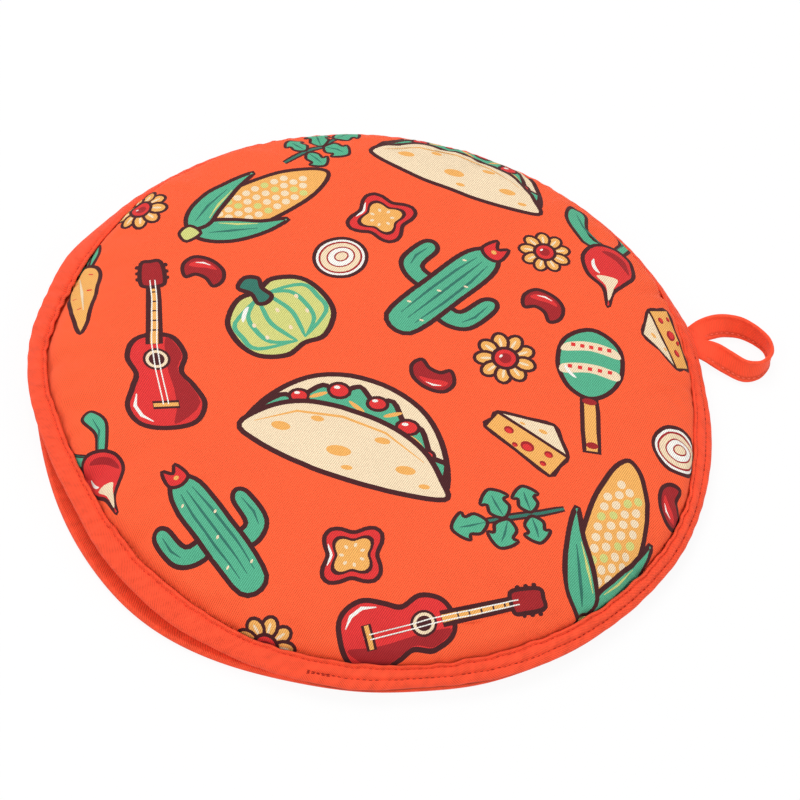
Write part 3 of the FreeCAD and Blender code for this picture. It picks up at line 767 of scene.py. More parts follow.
def cloth_material(name, colour, uv, pitch, slant, contrast, relief, roughness, sheen, wrinkle_shade):
    """Woven cloth: fine slanting ridges, cross threads, soft unevenness and a little sheen."""
    made, tree, shader = new_material(
        name, Specular_IOR_Level=0.16, Sheen_Weight=sheen, Sheen_Roughness=0.45,
        Sheen_Tint=(1.0, 0.8, 0.7, 1.0),
    )
    place = tree.add("ShaderNodeUVMap", uv_map=uv).outputs[0]

    def turned_place(degrees, scale=(1, 1, 1)):
        return tree.add("ShaderNodeMapping", place, vector_type="TEXTURE", Scale=scale,
                        Rotation=(0, 0, math.radians(degrees))).outputs[0]

    def bands(axis, length, distortion, detail):
        return tree.add("ShaderNodeTexWave", turned_place(slant), wave_type="BANDS", bands_direction=axis,
                        Scale=BANDS / length, Distortion=distortion, **{"Detail Scale": detail})

    def noise(vector, scale, detail):
        return tree.add("ShaderNodeTexNoise", vector, Scale=scale, Detail=detail).outputs["Fac"]

    ridges = bands("Y", pitch * MM, 0.6, 0.4)
    threads = bands("X", pitch * MM * CROSS_THREADS, 1.2, 1.0)
    weave = tree.math("ADD", tree.math("MULTIPLY", ridges.outputs["Fac"], 0.86),
                      tree.math("MULTIPLY", threads.outputs["Fac"], 0.14))
    spots = tree.add("ShaderNodeTexCoord").outputs["Object"]
    patches, specks = noise(spots, 38.0, 3.0), noise(spots, 900.0, 2.0)
    # Brightness: darker between the ridges, which is painted shade in their grooves, and slightly uneven in
    # large patches and fine specks.
    level = tree.math("ADD", tree.math("ADD", tree.swing(weave, contrast), tree.swing(patches, 0.10)),
                      tree.math("ADD", tree.swing(specks, 0.06), 1.0))
    folds, depth = patches, 0.35
    if wrinkle_shade:
        # Short slanting wrinkles that the stitches draw into the tape, with painted light and shade on them,
        # and painted shade in its seams and under its edges.
        folds, depth = noise(turned_place(28, (3.4 * MM, 9 * MM, 1)), 1.0, 2.0), 0.8
        level = tree.math("ADD", level, tree.swing(folds, wrinkle_shade))
        # The crease attribute holds painted shade: it darkens the colour where shade falls in seams and
        # clefts.
        crease = tree.add("ShaderNodeAttribute", attribute_name="crease").outputs["Fac"]
        shade = tree.math("SUBTRACT", 1.0, tree.math("MULTIPLY", crease, 0.68))
        level = tree.math("MULTIPLY", level, shade)
    if colour:
        tint = getattr(bpy.context.scene.warmer_colours, colour)
    else:
        tint = tree.add("ShaderNodeAttribute", attribute_name="print").outputs["Color"]
    colour_by_level(tree, shader, tint, level)
    rough = tree.math("ADD", tree.math("MULTIPLY", patches, 0.12), roughness - 0.06)
    tree.link(rough, shader.inputs["Roughness"])
    soft = tree.bump(folds, depth, 0.9 * MM)
    tree.link(tree.bump(weave, relief, 0.22 * MM, soft), shader.inputs["Normal"])
    return made


def fibre_material(name, tint, kind, texture, strength, distance, **settings):
    """Plain fibres whose texture gives both their relief and a slight unevenness."""
    made, tree, shader = new_material(name, **settings)
    spots = tree.add("ShaderNodeTexCoord").outputs["Object"]
    fibres = tree.add(kind, spots, **texture).outputs["Fac"]
    level = tree.math("ADD", tree.math("MULTIPLY", fibres, 0.3), 0.85)
    colour_by_level(tree, shader, tint, level)
    tree.link(tree.bump(fibres, strength, distance), shader.inputs["Normal"])
    return made


def material(name):
    """One of the warmer's materials, made when it is first asked for."""
    if name in bpy.data.materials:
        return bpy.data.materials[name]
    if name in CLOTHS:
        return cloth_material(name, *CLOTHS[name])
    colours = bpy.context.scene.warmer_colours
    if name == "padding_felt":
        felt = {"Scale": 420.0, "Detail": 6.0, "Distortion": 1.4}
        return fibre_material(
            name, colours.padding, "ShaderNodeTexNoise", felt, 0.8, 0.6 * MM, Roughness=0.95, Sheen_Weight=0.4
        )
    tint = colours.thread if name == "sewing_thread" else getattr(colours, name)
    twist = {"wave_type": "BANDS", "bands_direction": "DIAGONAL", "Scale": 900.0}
    return fibre_material(
        name, tint, "ShaderNodeTexWave", twist, 0.5, 0.2 * MM, Roughness=0.6, Specular_IOR_Level=0.15
    )


# ---- the print -------------------------------------------------------------------------------

INK = 2.6   # width of the print's outlines in mm, like all sizes of the motifs


def spline(a, b, c, d, t):
    """A point between b and c on a smooth line that also passes a and d."""
    return 0.5 * (2 * b + (c - a) * t + (2 * a - 5 * b + 4 * c - d) * t**2
                  + (3 * b - a - 3 * c + d) * t**3)


def smooth_outline(corners, steps=5):
    """A closed curve through the corners."""
    corners = np.asarray(corners, float)
    before, after, beyond = (np.roll(corners, k, 0) for k in (1, -1, -2))
    rows = [spline(before, corners, after, beyond, t) for t in np.arange(steps) / steps]
    return np.stack(rows, 1).reshape(-1, 2)


def open_curve(points, steps=10):
    """A smooth line through points, with even numbers of steps between them."""
    points = np.asarray(points, float)
    padded = np.concatenate([[2 * points[0] - points[1]], points, [2 * points[-1] - points[-2]]])
    rows = [
        spline(*four, t) for four in zip(padded, padded[1:], padded[2:], padded[3:])
        for t in np.arange(steps) / steps
    ]
    return np.array(rows + [points[-1]])


def turned(points, degrees):
    cos, sin = math.cos(math.radians(degrees)), math.sin(math.radians(degrees))
    return np.asarray(points, float) @ np.array([[cos, sin], [-sin, cos]])


def oval(x, y, wide, high, turn=0.0, count=22):
    return turned(circle(count) * (wide / 2, high / 2), turn) + (x, y)


def arc(x, y, radius, start, end, squeeze=1.0):
    """A short line of points round a middle."""
    angles = np.radians(np.linspace(start, end, 7))
    return np.stack([x + radius * np.cos(angles), y + radius * squeeze * np.sin(angles)], 1)


def mirrored(half):
    """Corners of an outline that is alike on both sides of the line between its two ends."""
    return half + [(x, -y) for x, y in reversed(half[1:-1])]


def counterclockwise(outline):
    x, y = outline[:, 0], outline[:, 1]
    area = (x * np.roll(y, -1) - np.roll(x, -1) * y).sum()
    return outline if area > 0 else outline[::-1]


def grown(outline, by):
    """An outline moved out, or in where by is negative."""
    outline = counterclockwise(np.asarray(outline, float))
    run = unit(np.roll(outline, -1, 0) - np.roll(outline, 1, 0))
    return outline + np.stack([run[:, 1], -run[:, 0]], 1) * by


def brush(points, width, taper=0.25):
    """A stroke along a line of points, thinner at its ends."""
    points = np.asarray(points, float)
    run = unit(np.gradient(points, axis=0))
    side = np.stack([-run[:, 1], run[:, 0]], 1)
    share = np.linspace(0, 1, len(points))
    half = width / 2 * (taper + (1 - taper) * np.sin(math.pi * share) ** 0.5)[:, None]
    return np.concatenate([points + side * half, (points - side * half)[::-1]])


# Each of these gives a list of filled outlines with the name of their ink.


def inked(outline, fill, ink=INK):
    """A fill with a dark outline round it."""
    return [(grown(outline, ink / 2), "ink"), (grown(outline, -ink / 2), fill)]


def blob(fill, corners, ink=INK, steps=5):
    """A rounded shape with a dark outline."""
    return inked(smooth_outline(corners, steps), fill, ink)


def patch(fill, corners):
    """A rounded shape without an outline."""
    return [(smooth_outline(corners, 4), fill)]


def bar(fill, left, low, right, high):
    return [(np.array([(left, low), (right, low), (right, high), (left, high)], float), fill)]


def dots(fill, *ovals):
    return [(oval(*each), fill) for each in ovals]


def strokes(fill, width, *lines, taper=0.25):
    return [(brush(line, width, taper), fill) for line in lines]


def cactus():
    ribs = [[(x, -28), (x * 1.15, -8), (x * 1.1, 12), (x * 0.8, 26)] for x in (-4, 0.5, 5)]
    spines = [(x, y, 2.4, 1.2, 30, 8) for x, y in ((-6, 20), (6, 8), (-6, -20), (6, -24), (-1, -4))]
    return [
        *blob("leaf", [(-6, -8), (-6, 0), (-17, 1), (-19, 14), (-24, 17), (-28, 12), (-27, -3), (-18, -9)]),
        *blob("leaf", [(6, -16), (6, -8), (15, -6), (17, 8), (22, 12), (26, 7), (25, -10), (16, -17)]),
        *blob("leaf", [(-8, -34), (8, -34), (10, 0), (9, 26), (0, 36), (-9, 26), (-10, 0)]),
        *dots("leaf", (-2, -12, 14, 14), (3, -13, 10, 6), (-4, -4, 8, 6)),
        *strokes("teal", 1.5, *ribs),
        *strokes("teal", 1.4, [(-22, -2), (-24, 4), (-23.5, 12)], [(20, -10), (22, -3), (21.5, 7)]),
        *dots("cream", *spines),
        *blob("red", [(-6, 33), (-4, 42), (0, 38), (4, 42), (6, 33), (0, 30)], 2, 4),
        *dots("mustard", (0, 35, 3, 2.4, 0, 10)),
    ]


def corn_cob():
    kernels = []
    for row, y in enumerate((-9, -3, 3, 9)):
        for k in range(11):
            x = -26 + k * 6 + (3 if row % 2 else 0)
            if x < 33 - abs(y):
                ink = "cream" if (k + row) % 4 else "lime"
                kernels += dots(ink, (x, y * (1 - abs(x) / 120), 4.6, 4.4, 0, 10))
    return [
        *blob("mustard", [(-40, 0), (-34, 9), (-14, 15), (14, 14), (34, 8), (43, 0), (34, -8),
                          (14, -14), (-14, -15), (-34, -9)]),
        *kernels,
        *blob("leaf", [(-46, -3), (-38, -14), (-20, -21), (4, -20), (-10, -13), (-22, -5), (-34, 1)]),
        *blob("leaf", [(-46, 3), (-36, -1), (-22, 6), (-8, 14), (8, 21), (-18, 21), (-38, 14)]),
        *strokes("teal", 1.6, [(-38, -6), (-28, -11), (-14, -17)], [(-40, 5), (-28, 11), (-12, 17)]),
        *strokes("lime", 1.4, [(-30, -3), (-22, -9), (-12, -14)], [(-32, 3), (-22, 9), (-10, 15)]),
        *blob("lime", [(-52, 3), (-44, 4), (-42, -4), (-52, -4)], 2, 4),
    ]


def folded_taco():
    frill = [
        (-44 + 8 * k, -6 + 30 * math.sin(math.pi * (k + 0.5) / 12) + (4 if k % 2 else -1))
        for k in range(12)
    ]
    tomatoes = []
    for x, y, size in ((-28, 12, 9), (-12, 22, 10), (6, 22, 9), (22, 15, 10), (34, 4, 7)):
        tomatoes += inked(oval(x, y, size, size * 0.8, 20, 14), "red", 1.6)
        tomatoes += dots("white", (x - 1.5, y + 1.2, size * 0.3, size * 0.18, 20, 8))
    shreds = [(x, y, 9, 2.2, turn, 10) for x, y, turn in
              ((-20, 16, 40), (-2, 17, -20), (14, 19, 35), (28, 9, -30))]
    toasted = [(x, y, wide, wide * 0.5, 12, 14) for x, y, wide in (
        (-30, -6, 9), (-16, 4, 6), (-2, -8, 11), (14, 4, 7), (28, -7, 9), (38, -12, 5), (4, -15, 5))]
    return [
        *blob("cream", [(-46, -12), (-40, 8), (-24, 26), (0, 33), (24, 27), (40, 10), (47, -11),
                        (30, -8), (0, -4), (-30, -8)]),
        *blob("leaf", frill + [(40, -12), (0, -10), (-40, -12)], steps=4),
        *tomatoes,
        *dots("mustard", *shreds),
        *blob("cream", [(-47, -14), (-42, -2), (-28, 9), (-8, 14), (14, 13), (32, 6), (44, -6),
                        (48, -15), (24, -20), (0, -21), (-24, -20)]),
        *dots("mustard", *toasted),
        *strokes("mustard", 1.3, [(-42, -8), (-26, 4), (-6, 9.5), (14, 8.5), (34, 0)]),
    ]


def radish():
    return [
        *blob("leaf", [(12, 2), (24, 14), (38, 16), (42, 24), (30, 27), (18, 20), (10, 9)], 2.2),
        *blob("leaf", [(13, -2), (26, -6), (40, -2), (44, -9), (34, -15), (20, -11), (11, -6)], 2.2),
        *strokes("teal", 1.3, [(14, 4), (26, 17), (36, 21)], [(15, -3), (28, -9), (38, -8)]),
        *blob("red", [(-30, -3), (-18, 2), (-10, 11), (2, 15), (13, 9), (15, -2), (9, -12), (-3, -14),
                      (-12, -9), (-20, -4)], 2.4),
        *patch("cream", [(-26, -2.5), (-16, 0.8), (-10, 6), (-9, -5), (-16, -4)]),
        *patch("wine", [(-2, -11.5), (7, -9), (11, -1), (9, 5), (5, -4)]),
        *strokes("white", 2.2, arc(0, 0, 9, 80, 150)),
    ]


def onion_slice():
    return [
        *inked(oval(0, 0, 34, 30, 0, 30), "white", 2.4),
        *dots("wine", (0, 0, 28.5, 24.5, 0, 28)), *dots("cream", (0, 0, 26, 22, 0, 26)),
        *dots("wine", (0.5, 0.2, 19, 15.5, 0, 22)), *dots("white", (0.5, 0.2, 17, 13.6, 0, 22)),
        *dots("wine", (1, 0.4, 10, 7.6, 0, 18)), *dots("cream", (1, 0.4, 8, 5.8, 0, 16)),
    ]


def pepper_ring():
    def wavy(angles, share=1.0):
        reach = share * (17 + 3.4 * np.cos(4 * angles + 0.6))
        return np.stack([reach * np.cos(angles), 0.9 * reach * np.sin(angles)], 1)

    rim = smooth_outline(wavy(around(24)), 2)
    seeds = [(6 * math.cos(a), 5.4 * math.sin(a), 2.6, 1.8, math.degrees(a), 8)
             for a in around(7) + 0.4]
    return [
        *inked(rim, "red", 2.4), (rim * 0.72, "ink"), (rim * 0.60, "mustard"), *dots("cream", *seeds),
        *strokes("white", 1.4, wavy(np.radians(np.linspace(100, 150, 7)), 0.86)),
    ]


def herb_sprig():
    stem = open_curve([(-26, -9), (-12, -4), (2, 0), (14, 4)], 4)
    parts = strokes("ink", 4.6, stem, taper=0.7) + strokes("teal", 1.8, stem, taper=0.7)
    lobes = np.array(mirrored([
        (-0.52, 0), (-0.25, 0.32), (0.05, 0.28), (0.12, 0.45), (0.36, 0.28), (0.52, 0)]))
    vein = np.array([(-0.45, 0), (0.0, 0.02), (0.3, 0)])
    for x, y, turn, size in (
        (21, 7, 18, 18), (4, 9.5, 78, 17), (8, -7.5, -62, 17), (-12, 5, 108, 15), (-7, -12, -72, 15),
    ):
        parts += inked(turned(smooth_outline(lobes * size, 4), turn) + (x, y), "leaf", 1.9)
        parts += strokes("teal", 1.3, turned(vein * size, turn) + (x, y))
    return parts


def bean():
    return [
        *blob("wine", [(-11, 1), (-7, 8), (2, 8.5), (10, 4), (12, -3), (8, -8), (3, -4), (-3, -3),
                       (-8, -6)], 2.2),
        *patch("red", [(-8, 2), (-5, 5.6), (2, 6), (7, 3), (1, 2.6), (-4, 1.6)]),
        *strokes("white", 1.1, [(-5, 4.6), (-1, 5.6), (3, 5)]),
    ]


def cheese_wedge():
    whole = smooth_outline([(-18.5, 4), (-6, 10), (6, 15.5), (13, 11), (20.5, 5), (20.5, -2),
                            (20, -9.5), (0, -8), (-18.5, -6.5), (-18.5, -1)], 3)
    parts = [
        (grown(whole, 1.2), "ink"), (np.array([(-18, 4), (6, 15), (20, 5)], float), "cream"),
        (np.array([(-18, 4), (20, 5), (20, -9), (-18, -6)], float), "mustard"),
        *strokes("ink", 1.6, [(-18, 4), (0, 4.4), (20, 5)], taper=1),
    ]
    for x, y, wide in ((-9, -1, 5), (3, -3, 7), (13, 0, 4.5), (-2, -6, 3), (14, -6, 3.4)):
        parts += dots("wine", (x, y, wide, wide * 0.8, 0, 12))
        parts += dots("red", (x + 0.3, y - 0.5, wide * 0.7, wide * 0.5, 0, 10))
    return parts + dots("mustard", (4, 9, 4.4, 2.2, 10, 10), (-6, 6.4, 3, 1.4, 10, 8))


def marigold():
    parts = []
    for turn in range(0, 360, 40):
        parts += inked(turned(oval(10.5, 0, 11, 8.4, 0, 14), turn), "mustard", 1.9)
    parts += [(turned(oval(10, 0, 6, 1.6, 0, 8), turn), "cream") for turn in range(0, 360, 40)]
    parts += inked(oval(0, 0, 13, 13, 0, 18), "red", 2)
    return parts + dots("wine", (0, 0, 6.4, 6.4, 0, 14)) + dots("white", (-1.6, 2, 2.4, 1.4, 30, 8))


def maraca():
    beads = []
    for y in (-10.5, -5.2, 0, 5.2, 10.5):
        beads += dots("red", (8.8, y, 3.2, 3.2, 45, 4), (22.8, y * 0.9, 3.2, 3.2, 45, 4))
    return [
        *inked(brush([(-42, 0), (-30, 0.4), (-18, 0), (-8, 0)], 8.4, 0.9), "mustard", 2.4),
        *blob("leaf", mirrored([(-10, 0), (-4, 11), (10, 17), (26, 14), (34, 0)])),
        *patch("cream", [(4, 14.2), (9, 15.3), (11.5, 7), (12, 0), (11.5, -7), (9, -15.3), (4, -14.2),
                         (6.4, 0)]),
        *patch("cream", [(18, 15), (23, 13.6), (25.5, 6), (26, 0), (25.5, -6), (23, -13.6), (18, -15),
                         (20.4, 0)]),
        *beads,
        *dots("wine", (-38, 0, 4, 6.4, 0, 10), (-12, 0, 4, 8, 0, 10)),
        *strokes("white", 1.8, arc(14, 0, 14, 110, 150)),
    ]


def carrot():
    parts = []
    leaf = smooth_outline([(0, -2.4), (12, -4.5), (22, 0), (12, 4.5), (0, 2.4)], 4)
    for turn in (-28, 0, 28):
        parts += inked(turned(leaf, turn) + (20, 0), "leaf", 2)
    parts += blob("mustard", [(-34, 0), (-20, 5), (0, 9), (16, 10), (22, 4), (22, -5), (15, -10), (0, -8),
                              (-20, -4)], 2.4)
    for x, y, reach in ((-14, 3, 5), (0, -5, 6), (10, 6, 6), (-4, 6, 4), (14, -6, 5)):
        parts += strokes("red", 1.4, [(x, y), (x + 0.6, y - 0.5 * reach * np.sign(y))], taper=0.7)
    return parts + strokes("cream", 1.8, [(-16, -1), (0, 1), (14, 2)])


def guitar():
    frets, strings, pegs = [], [], []
    for x in (8, 14, 20, 26, 32):
        frets += bar("ink", x, -2, x + 0.9, 2)
    for y in (-1.2, 1.2):
        strings += bar("white", -36, y - 0.3, 40, y + 0.3)
    for x in (41, 45, 49):
        pegs += dots("ink", (x, 7, 2.6, 2.6, 0, 8), (x, -7, 2.6, 2.6, 0, 8))
    bridge = bar("mustard", -38, -6, -34.5, 6)[0][0]
    return [
        *blob("red", mirrored([(-50, 0), (-47, 13), (-36, 18), (-25, 14), (-17, 10.5), (-7, 13.5), (3, 9),
                               (6, 0)])),
        *patch("wine", [(-48, -3), (-36, -5), (-17, -4.5), (2, -5), (2, -8), (-7, -12), (-17, -9),
                        (-36, -16)]),
        *inked([(0, -3), (38, -2.4), (38, 2.4), (0, 3)], "mustard", 2.2),
        *blob("wine", [(36, -3.4), (39, -6), (51, -5), (52, 0), (51, 5), (39, 6), (36, 3.4)], 2.2, 4),
        *frets,
        *dots("ink", (-9, 0, 13, 13)), *dots("cream", (-9, 0, 10.4, 10.4)), *dots("ink", (-9, 0, 7.4, 7.4)),
        *inked(bridge, "mustard", 1.4),
        *strings, *pegs,
        *strokes("white", 1.9, [(-46, 7), (-42, 12), (-36, 14.4), (-29, 13)]),
    ]


def squash():
    ribs = []
    for reach in (-1, 1):
        for bow in (4, 12, 19):
            ribs.append(open_curve([(reach * 2, 15), (reach * bow, 9), (reach * (bow + 2), 0),
                                    (reach * bow, -9), (reach * 2, -15)], 4))
    specks = [(x, y, 2.6, 1.8, 70, 8) for x, y in
              ((-13, 3), (-12, -6), (1, 4), (0, -7), (13, 5), (12, -4))]
    return [
        *blob("lime", mirrored([(-24, 0), (-21, 12), (-10, 19), (0, 17.5), (10, 19), (21, 12), (24, 0)])),
        *strokes("leaf", 2.3, *ribs),
        *dots("cream", *specks),
        *blob("teal", [(-4, 12), (-3, 18), (-6, 24), (0, 27), (5, 23), (3, 18), (4, 12), (0, 10)], 2.2, 4),
        *strokes("white", 2, arc(0, 0, 18.5, 118, 150, 0.8)),
    ]


MOTIFS = {
    "cactus": cactus, "corn": corn_cob, "taco": folded_taco, "radish": radish, "onion": onion_slice,
    "pepper": pepper_ring, "herb": herb_sprig, "bean": bean, "cheese": cheese_wedge,
    "marigold": marigold, "maraca": maraca, "carrot": carrot, "guitar": guitar, "squash": squash,
}

LAYOUT = [  # motif, place in mm, turn in degrees, scale
    ("taco", -24, -38, -32, 0.98), ("cactus", 38, 34, -58, 0.9), ("squash", -38, 30, 24, 0.98),
    ("guitar", -94, 26, 82, 0.92), ("maraca", 88, -26, 72, 0.86), ("corn", 76, -100, 64, 0.88),
    ("corn", -30, 98, 20, 0.82), ("taco", 66, 106, -36, 0.86), ("cactus", -90, -72, 24, 0.84),
    ("guitar", -6, -128, 4, 0.86), ("radish", 116, 38, 66, 0.84), ("pepper", 20, 78, 15, 0.8),
    ("onion", -4, 58, 25, 0.72), ("marigold", 54, -8, 10, 0.86), ("cheese", 50, -50, -50, 0.9),
    ("carrot", -120, 66, 82, 0.8), ("herb", 34, -88, 165, 0.84), ("bean", 78, 18, -40, 0.85),
    ("pepper", -36, -94, 40, 0.8), ("onion", 120, -62, 0, 0.76), ("radish", -134, -34, 96, 0.7),
    ("herb", 4, 130, 10, 0.78), ("bean", 108, -88, 100, 0.85), ("cheese", 134, -4, 100, 0.8),
    ("marigold", -84, 108, 15, 0.8), ("bean", -66, 62, -30, 0.85), ("marigold", 88, 48, 0, 0.74),
    ("marigold", -80, -124, 20, 0.8), ("bean", 20, -12, 150, 0.85),
]


def printed_shapes(turn=0.0):
    """Every filled outline of the print, in the order that they are printed, in metres."""
    shapes = []
    for name, x, y, degrees, scale in LAYOUT:
        for outline, ink in MOTIFS[name]():
            placed = turned(np.asarray(outline) * scale, degrees) + (x, y)
            shapes.append((turned(placed, turn) * MM, ink))
    return shapes


def inside(outline, points):
    """Which points lie inside an outline."""
    found = np.zeros(len(points), bool)
    low, high = outline.min(0), outline.max(0)
    near = np.flatnonzero(((points >= low) & (points <= high)).all(1))
    x, y = points[near, 0], points[near, 1]
    odd = np.zeros(len(near), bool)
    for (ax, ay), (bx, by) in zip(outline, np.roll(outline, -1, 0)):
        crosses = (ay > y) != (by > y)
        with np.errstate(divide="ignore", invalid="ignore"):
            odd ^= crosses & (x < (bx - ax) * (y - ay) / (by - ay) + ax)
    found[near] = odd
    return found


GRID_PITCH, RING_PITCH, RING_POINTS = 4.4 * MM, 1.3 * MM, 340   # of the cut cloth's triangles
EVEN_ROWS = 0.866   # height of an even triangle, as a share of its side


def cloth_grid(radius, fine_from):
    """Places on a disc of cloth: an even field, then close rings where it bends to the rim."""
    step = GRID_PITCH * EVEN_ROWS
    grid = []
    for row in np.arange(-radius, radius, step):
        shift = GRID_PITCH / 2 * (round(row / step) % 2)
        grid += [(x + shift, row) for x in np.arange(-radius, radius, GRID_PITCH)]
    grid = np.array(grid)
    rings = [grid[np.hypot(grid[:, 0], grid[:, 1]) < fine_from - GRID_PITCH / 2]]
    radii = np.concatenate([np.arange(fine_from, radius - 0.6 * MM, RING_PITCH), [radius]])
    return rings + [circle(RING_POINTS, 0.5 * (k % 2)) * ring for k, ring in enumerate(radii)]


def printed_cut(radius, shapes, fine_from):
    """Flat triangles of a disc of cloth, cut along the print's outlines. Returns places, faces, inks."""
    places, edges = cloth_grid(radius, fine_from), []
    count = sum(len(p) for p in places)
    for outline, _ in shapes:
        reach = np.hypot(outline[:, 0], outline[:, 1])
        if reach.min() > radius:
            continue
        outline = outline * np.minimum(1, (radius - 0.05 * MM) / np.maximum(reach, 1e-9))[:, None]
        places.append(outline)
        index = count + np.arange(len(outline))
        edges += list(zip(index.tolist(), np.roll(index, -1).tolist()))
        count += len(outline)
    flat = [Vector((float(x) / MM, float(y) / MM)) for x, y in np.concatenate(places)]
    made, _, faces, *_ = delaunay_2d_cdt(flat, edges, [], 0, 1e-4)
    made = np.array([tuple(v) for v in made]) * MM
    faces = [tuple(face) for face in faces]
    middles = np.array([made[list(face)].mean(0) for face in faces])
    inks = np.zeros(len(faces), int)
    names = ["cloth"]
    for outline, ink in shapes:
        if ink not in names:
            names.append(ink)
        inks[inside(outline, middles)] = names.index(ink)
    return made, faces, inks, names


def paint_print(piece, inks, names):
    """Store each face's printed colour. Faces past the list have the ground colour."""
    colours = bpy.context.scene.warmer_colours
    palette = np.array([(*getattr(colours, name), 1.0) for name in names], np.float32)
    mesh = piece.data
    layer = mesh.color_attributes.new("print", "FLOAT_COLOR", "CORNER")
    totals = np.array([face.loop_total for face in mesh.polygons])
    faces = np.zeros(len(mesh.polygons), int)
    faces[: len(inks)] = inks
    layer.data.foreach_set("color", palette[np.repeat(faces, totals)].ravel())


# ---- stitches --------------------------------------------------------------------------------

STITCH_SHARE, THREAD_FLATNESS = 0.62, 0.9   # a stitch's length in its pitch, its height in its width
WOBBLE = 0.00014                            # how far a stitch may lie off its line, in metres
SOCKETS = ("Pitch", "Stitch length", "Thread width", "Thread height")


def stitch_tree():
    """Geometry nodes that lay one stitch after another along a path."""
    name = "row_of_stitches"
    if name in bpy.data.node_groups:
        return bpy.data.node_groups[name]
    tree = bpy.data.node_groups.new(name, "GeometryNodeTree")
    tree.is_modifier = True

    def socket(label, kind, way="INPUT"):
        return tree.interface.new_socket(name=label, in_out=way, socket_type="NodeSocket" + kind)

    socket("Path", "Geometry")
    for label in SOCKETS:
        socket(label, "Float").default_value = 1 * MM
    socket("Thread", "Material")
    socket("Stitches", "Geometry", "OUTPUT")
    add = Tree(tree).add
    start, end = add("NodeGroupInput"), add("NodeGroupOutput")
    curve = add("GeometryNodeMeshToCurve")
    even = add("GeometryNodeResampleCurve", mode="LENGTH")
    bead = add("GeometryNodeMeshUVSphere", Segments=6, Rings=6, Radius=0.5)
    size, shaped = add("ShaderNodeCombineXYZ"), add("GeometryNodeTransform")
    tangent, aim = add("GeometryNodeInputTangent"), add("FunctionNodeAlignRotationToVector", axis="Z")
    offset = add("GeometryNodeSetPosition")
    wobble = add("FunctionNodeRandomValue", data_type="FLOAT_VECTOR")
    wobble.inputs["Min"].default_value = (-WOBBLE, -WOBBLE, -WOBBLE)
    wobble.inputs["Max"].default_value = (WOBBLE, WOBBLE, 0.00010)
    wobble.inputs["Seed"].default_value = 7
    laid, real = add("GeometryNodeInstanceOnPoints"), add("GeometryNodeRealizeInstances")
    smooth, painted = add("GeometryNodeSetShadeSmooth"), add("GeometryNodeSetMaterial")
    for source, output, target, wanted in (
        (start, "Path", curve, "Mesh"), (curve, "Curve", even, "Curve"), (start, "Pitch", even, "Length"),
        (start, "Thread width", size, "X"), (start, "Thread height", size, "Y"),
        (start, "Stitch length", size, "Z"), (bead, "Mesh", shaped, "Geometry"),
        (size, "Vector", shaped, "Scale"), (tangent, "Tangent", aim, "Vector"),
        (even, "Curve", offset, "Geometry"), (wobble, "Value", offset, "Offset"),
        (offset, "Geometry", laid, "Points"), (shaped, "Geometry", laid, "Instance"),
        (aim, "Rotation", laid, "Rotation"), (laid, "Instances", real, "Geometry"),
        (real, "Geometry", smooth, "Geometry"), (smooth, "Geometry", painted, "Geometry"),
        (start, "Thread", painted, "Material"), (painted, "Geometry", end, "Stitches"),
    ):
        tree.links.new(source.outputs[output], target.inputs[wanted])
    return tree


def stitch_row(name, paths, thread="sewing_thread", pitch=None, stitch=None):
    """A plain mesh of stitches along paths. Each path is its points and whether it closes."""
    points, edges, count = [], [], 0
    for path, closed in paths:
        index = list(range(count, count + len(path)))
        edges += list(zip(index, index[1:])) + ([(index[-1], index[0])] if closed else [])
        points.append(path)
        count += len(path)
    mesh = bpy.data.meshes.new(name + "_path")
    mesh.from_pydata([tuple(p) for p in np.concatenate(points)], edges, [])
    guide = put(name + "_path", mesh)
    modifier = guide.modifiers.new("stitches", "NODES")
    modifier.node_group = stitch_tree()
    sockets = {item.name: item.identifier for item in modifier.node_group.interface.items_tree
               if item.in_out == "INPUT"}
    own = bpy.context.scene.warmer_sizes
    pitch = pitch or own.stitch_pitch
    lengths = (pitch, stitch or pitch * STITCH_SHARE, own.thread, own.thread * THREAD_FLATNESS)
    for label, number in zip(SOCKETS, lengths):
        modifier[sockets[label]] = number
    modifier[sockets["Thread"]] = material(thread)
    bpy.context.view_layer.update()
    settled = guide.evaluated_get(bpy.context.evaluated_depsgraph_get())
    made = bpy.data.meshes.new_from_object(settled)
    made.name = name
    bpy.data.objects.remove(guide)
    return put(name, made)


# ---- the finished state ----------------------------------------------------------------------

PANEL = []   # the upper panel's form, once it has been worked out
NORMAL_STEP = 0.5 * MM
UPPER_FINE, LOWER_FINE = 22 * MM, 14 * MM   # width of the cloths' finely cut edge
UPPER_GRID, LOWER_GRID = (44, 200), (30, 160)   # rings and points round them, of paddings and linings
UPPER_STATIONS, LOWER_STATIONS, SEAM_STATIONS = 640, 560, 1400   # points round the tapes and the seam
TACK = 20   # points of the seam's path that a back-tack covers
TACK_PITCH, TACK_STITCH = 2.0 * MM, 1.6 * MM
PLY_GAP = 0.15 * MM   # between padding and cloth
LOWER_TURN = 128      # turn of the lower panel's print, in degrees


def dress(piece, nodes, body=None, start=tuple(FOLD), end=MOUTH_SIDE):
    """Let a piece stand for its nodes, and ride on a body, or else have its place baked into its mesh."""
    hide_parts(*nodes)
    if body is None:
        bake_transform(piece)
        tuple(start)
        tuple(end)
    else:
        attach(piece, body)


def shared_panel():
    """The upper panel's form, with its billow, worked out once."""
    if not PANEL:
        panel = UpperPanel(bpy.context.scene.warmer_sizes)
        panel.billow = billow_padding(panel)
        PANEL.append(panel)
    return PANEL[0]


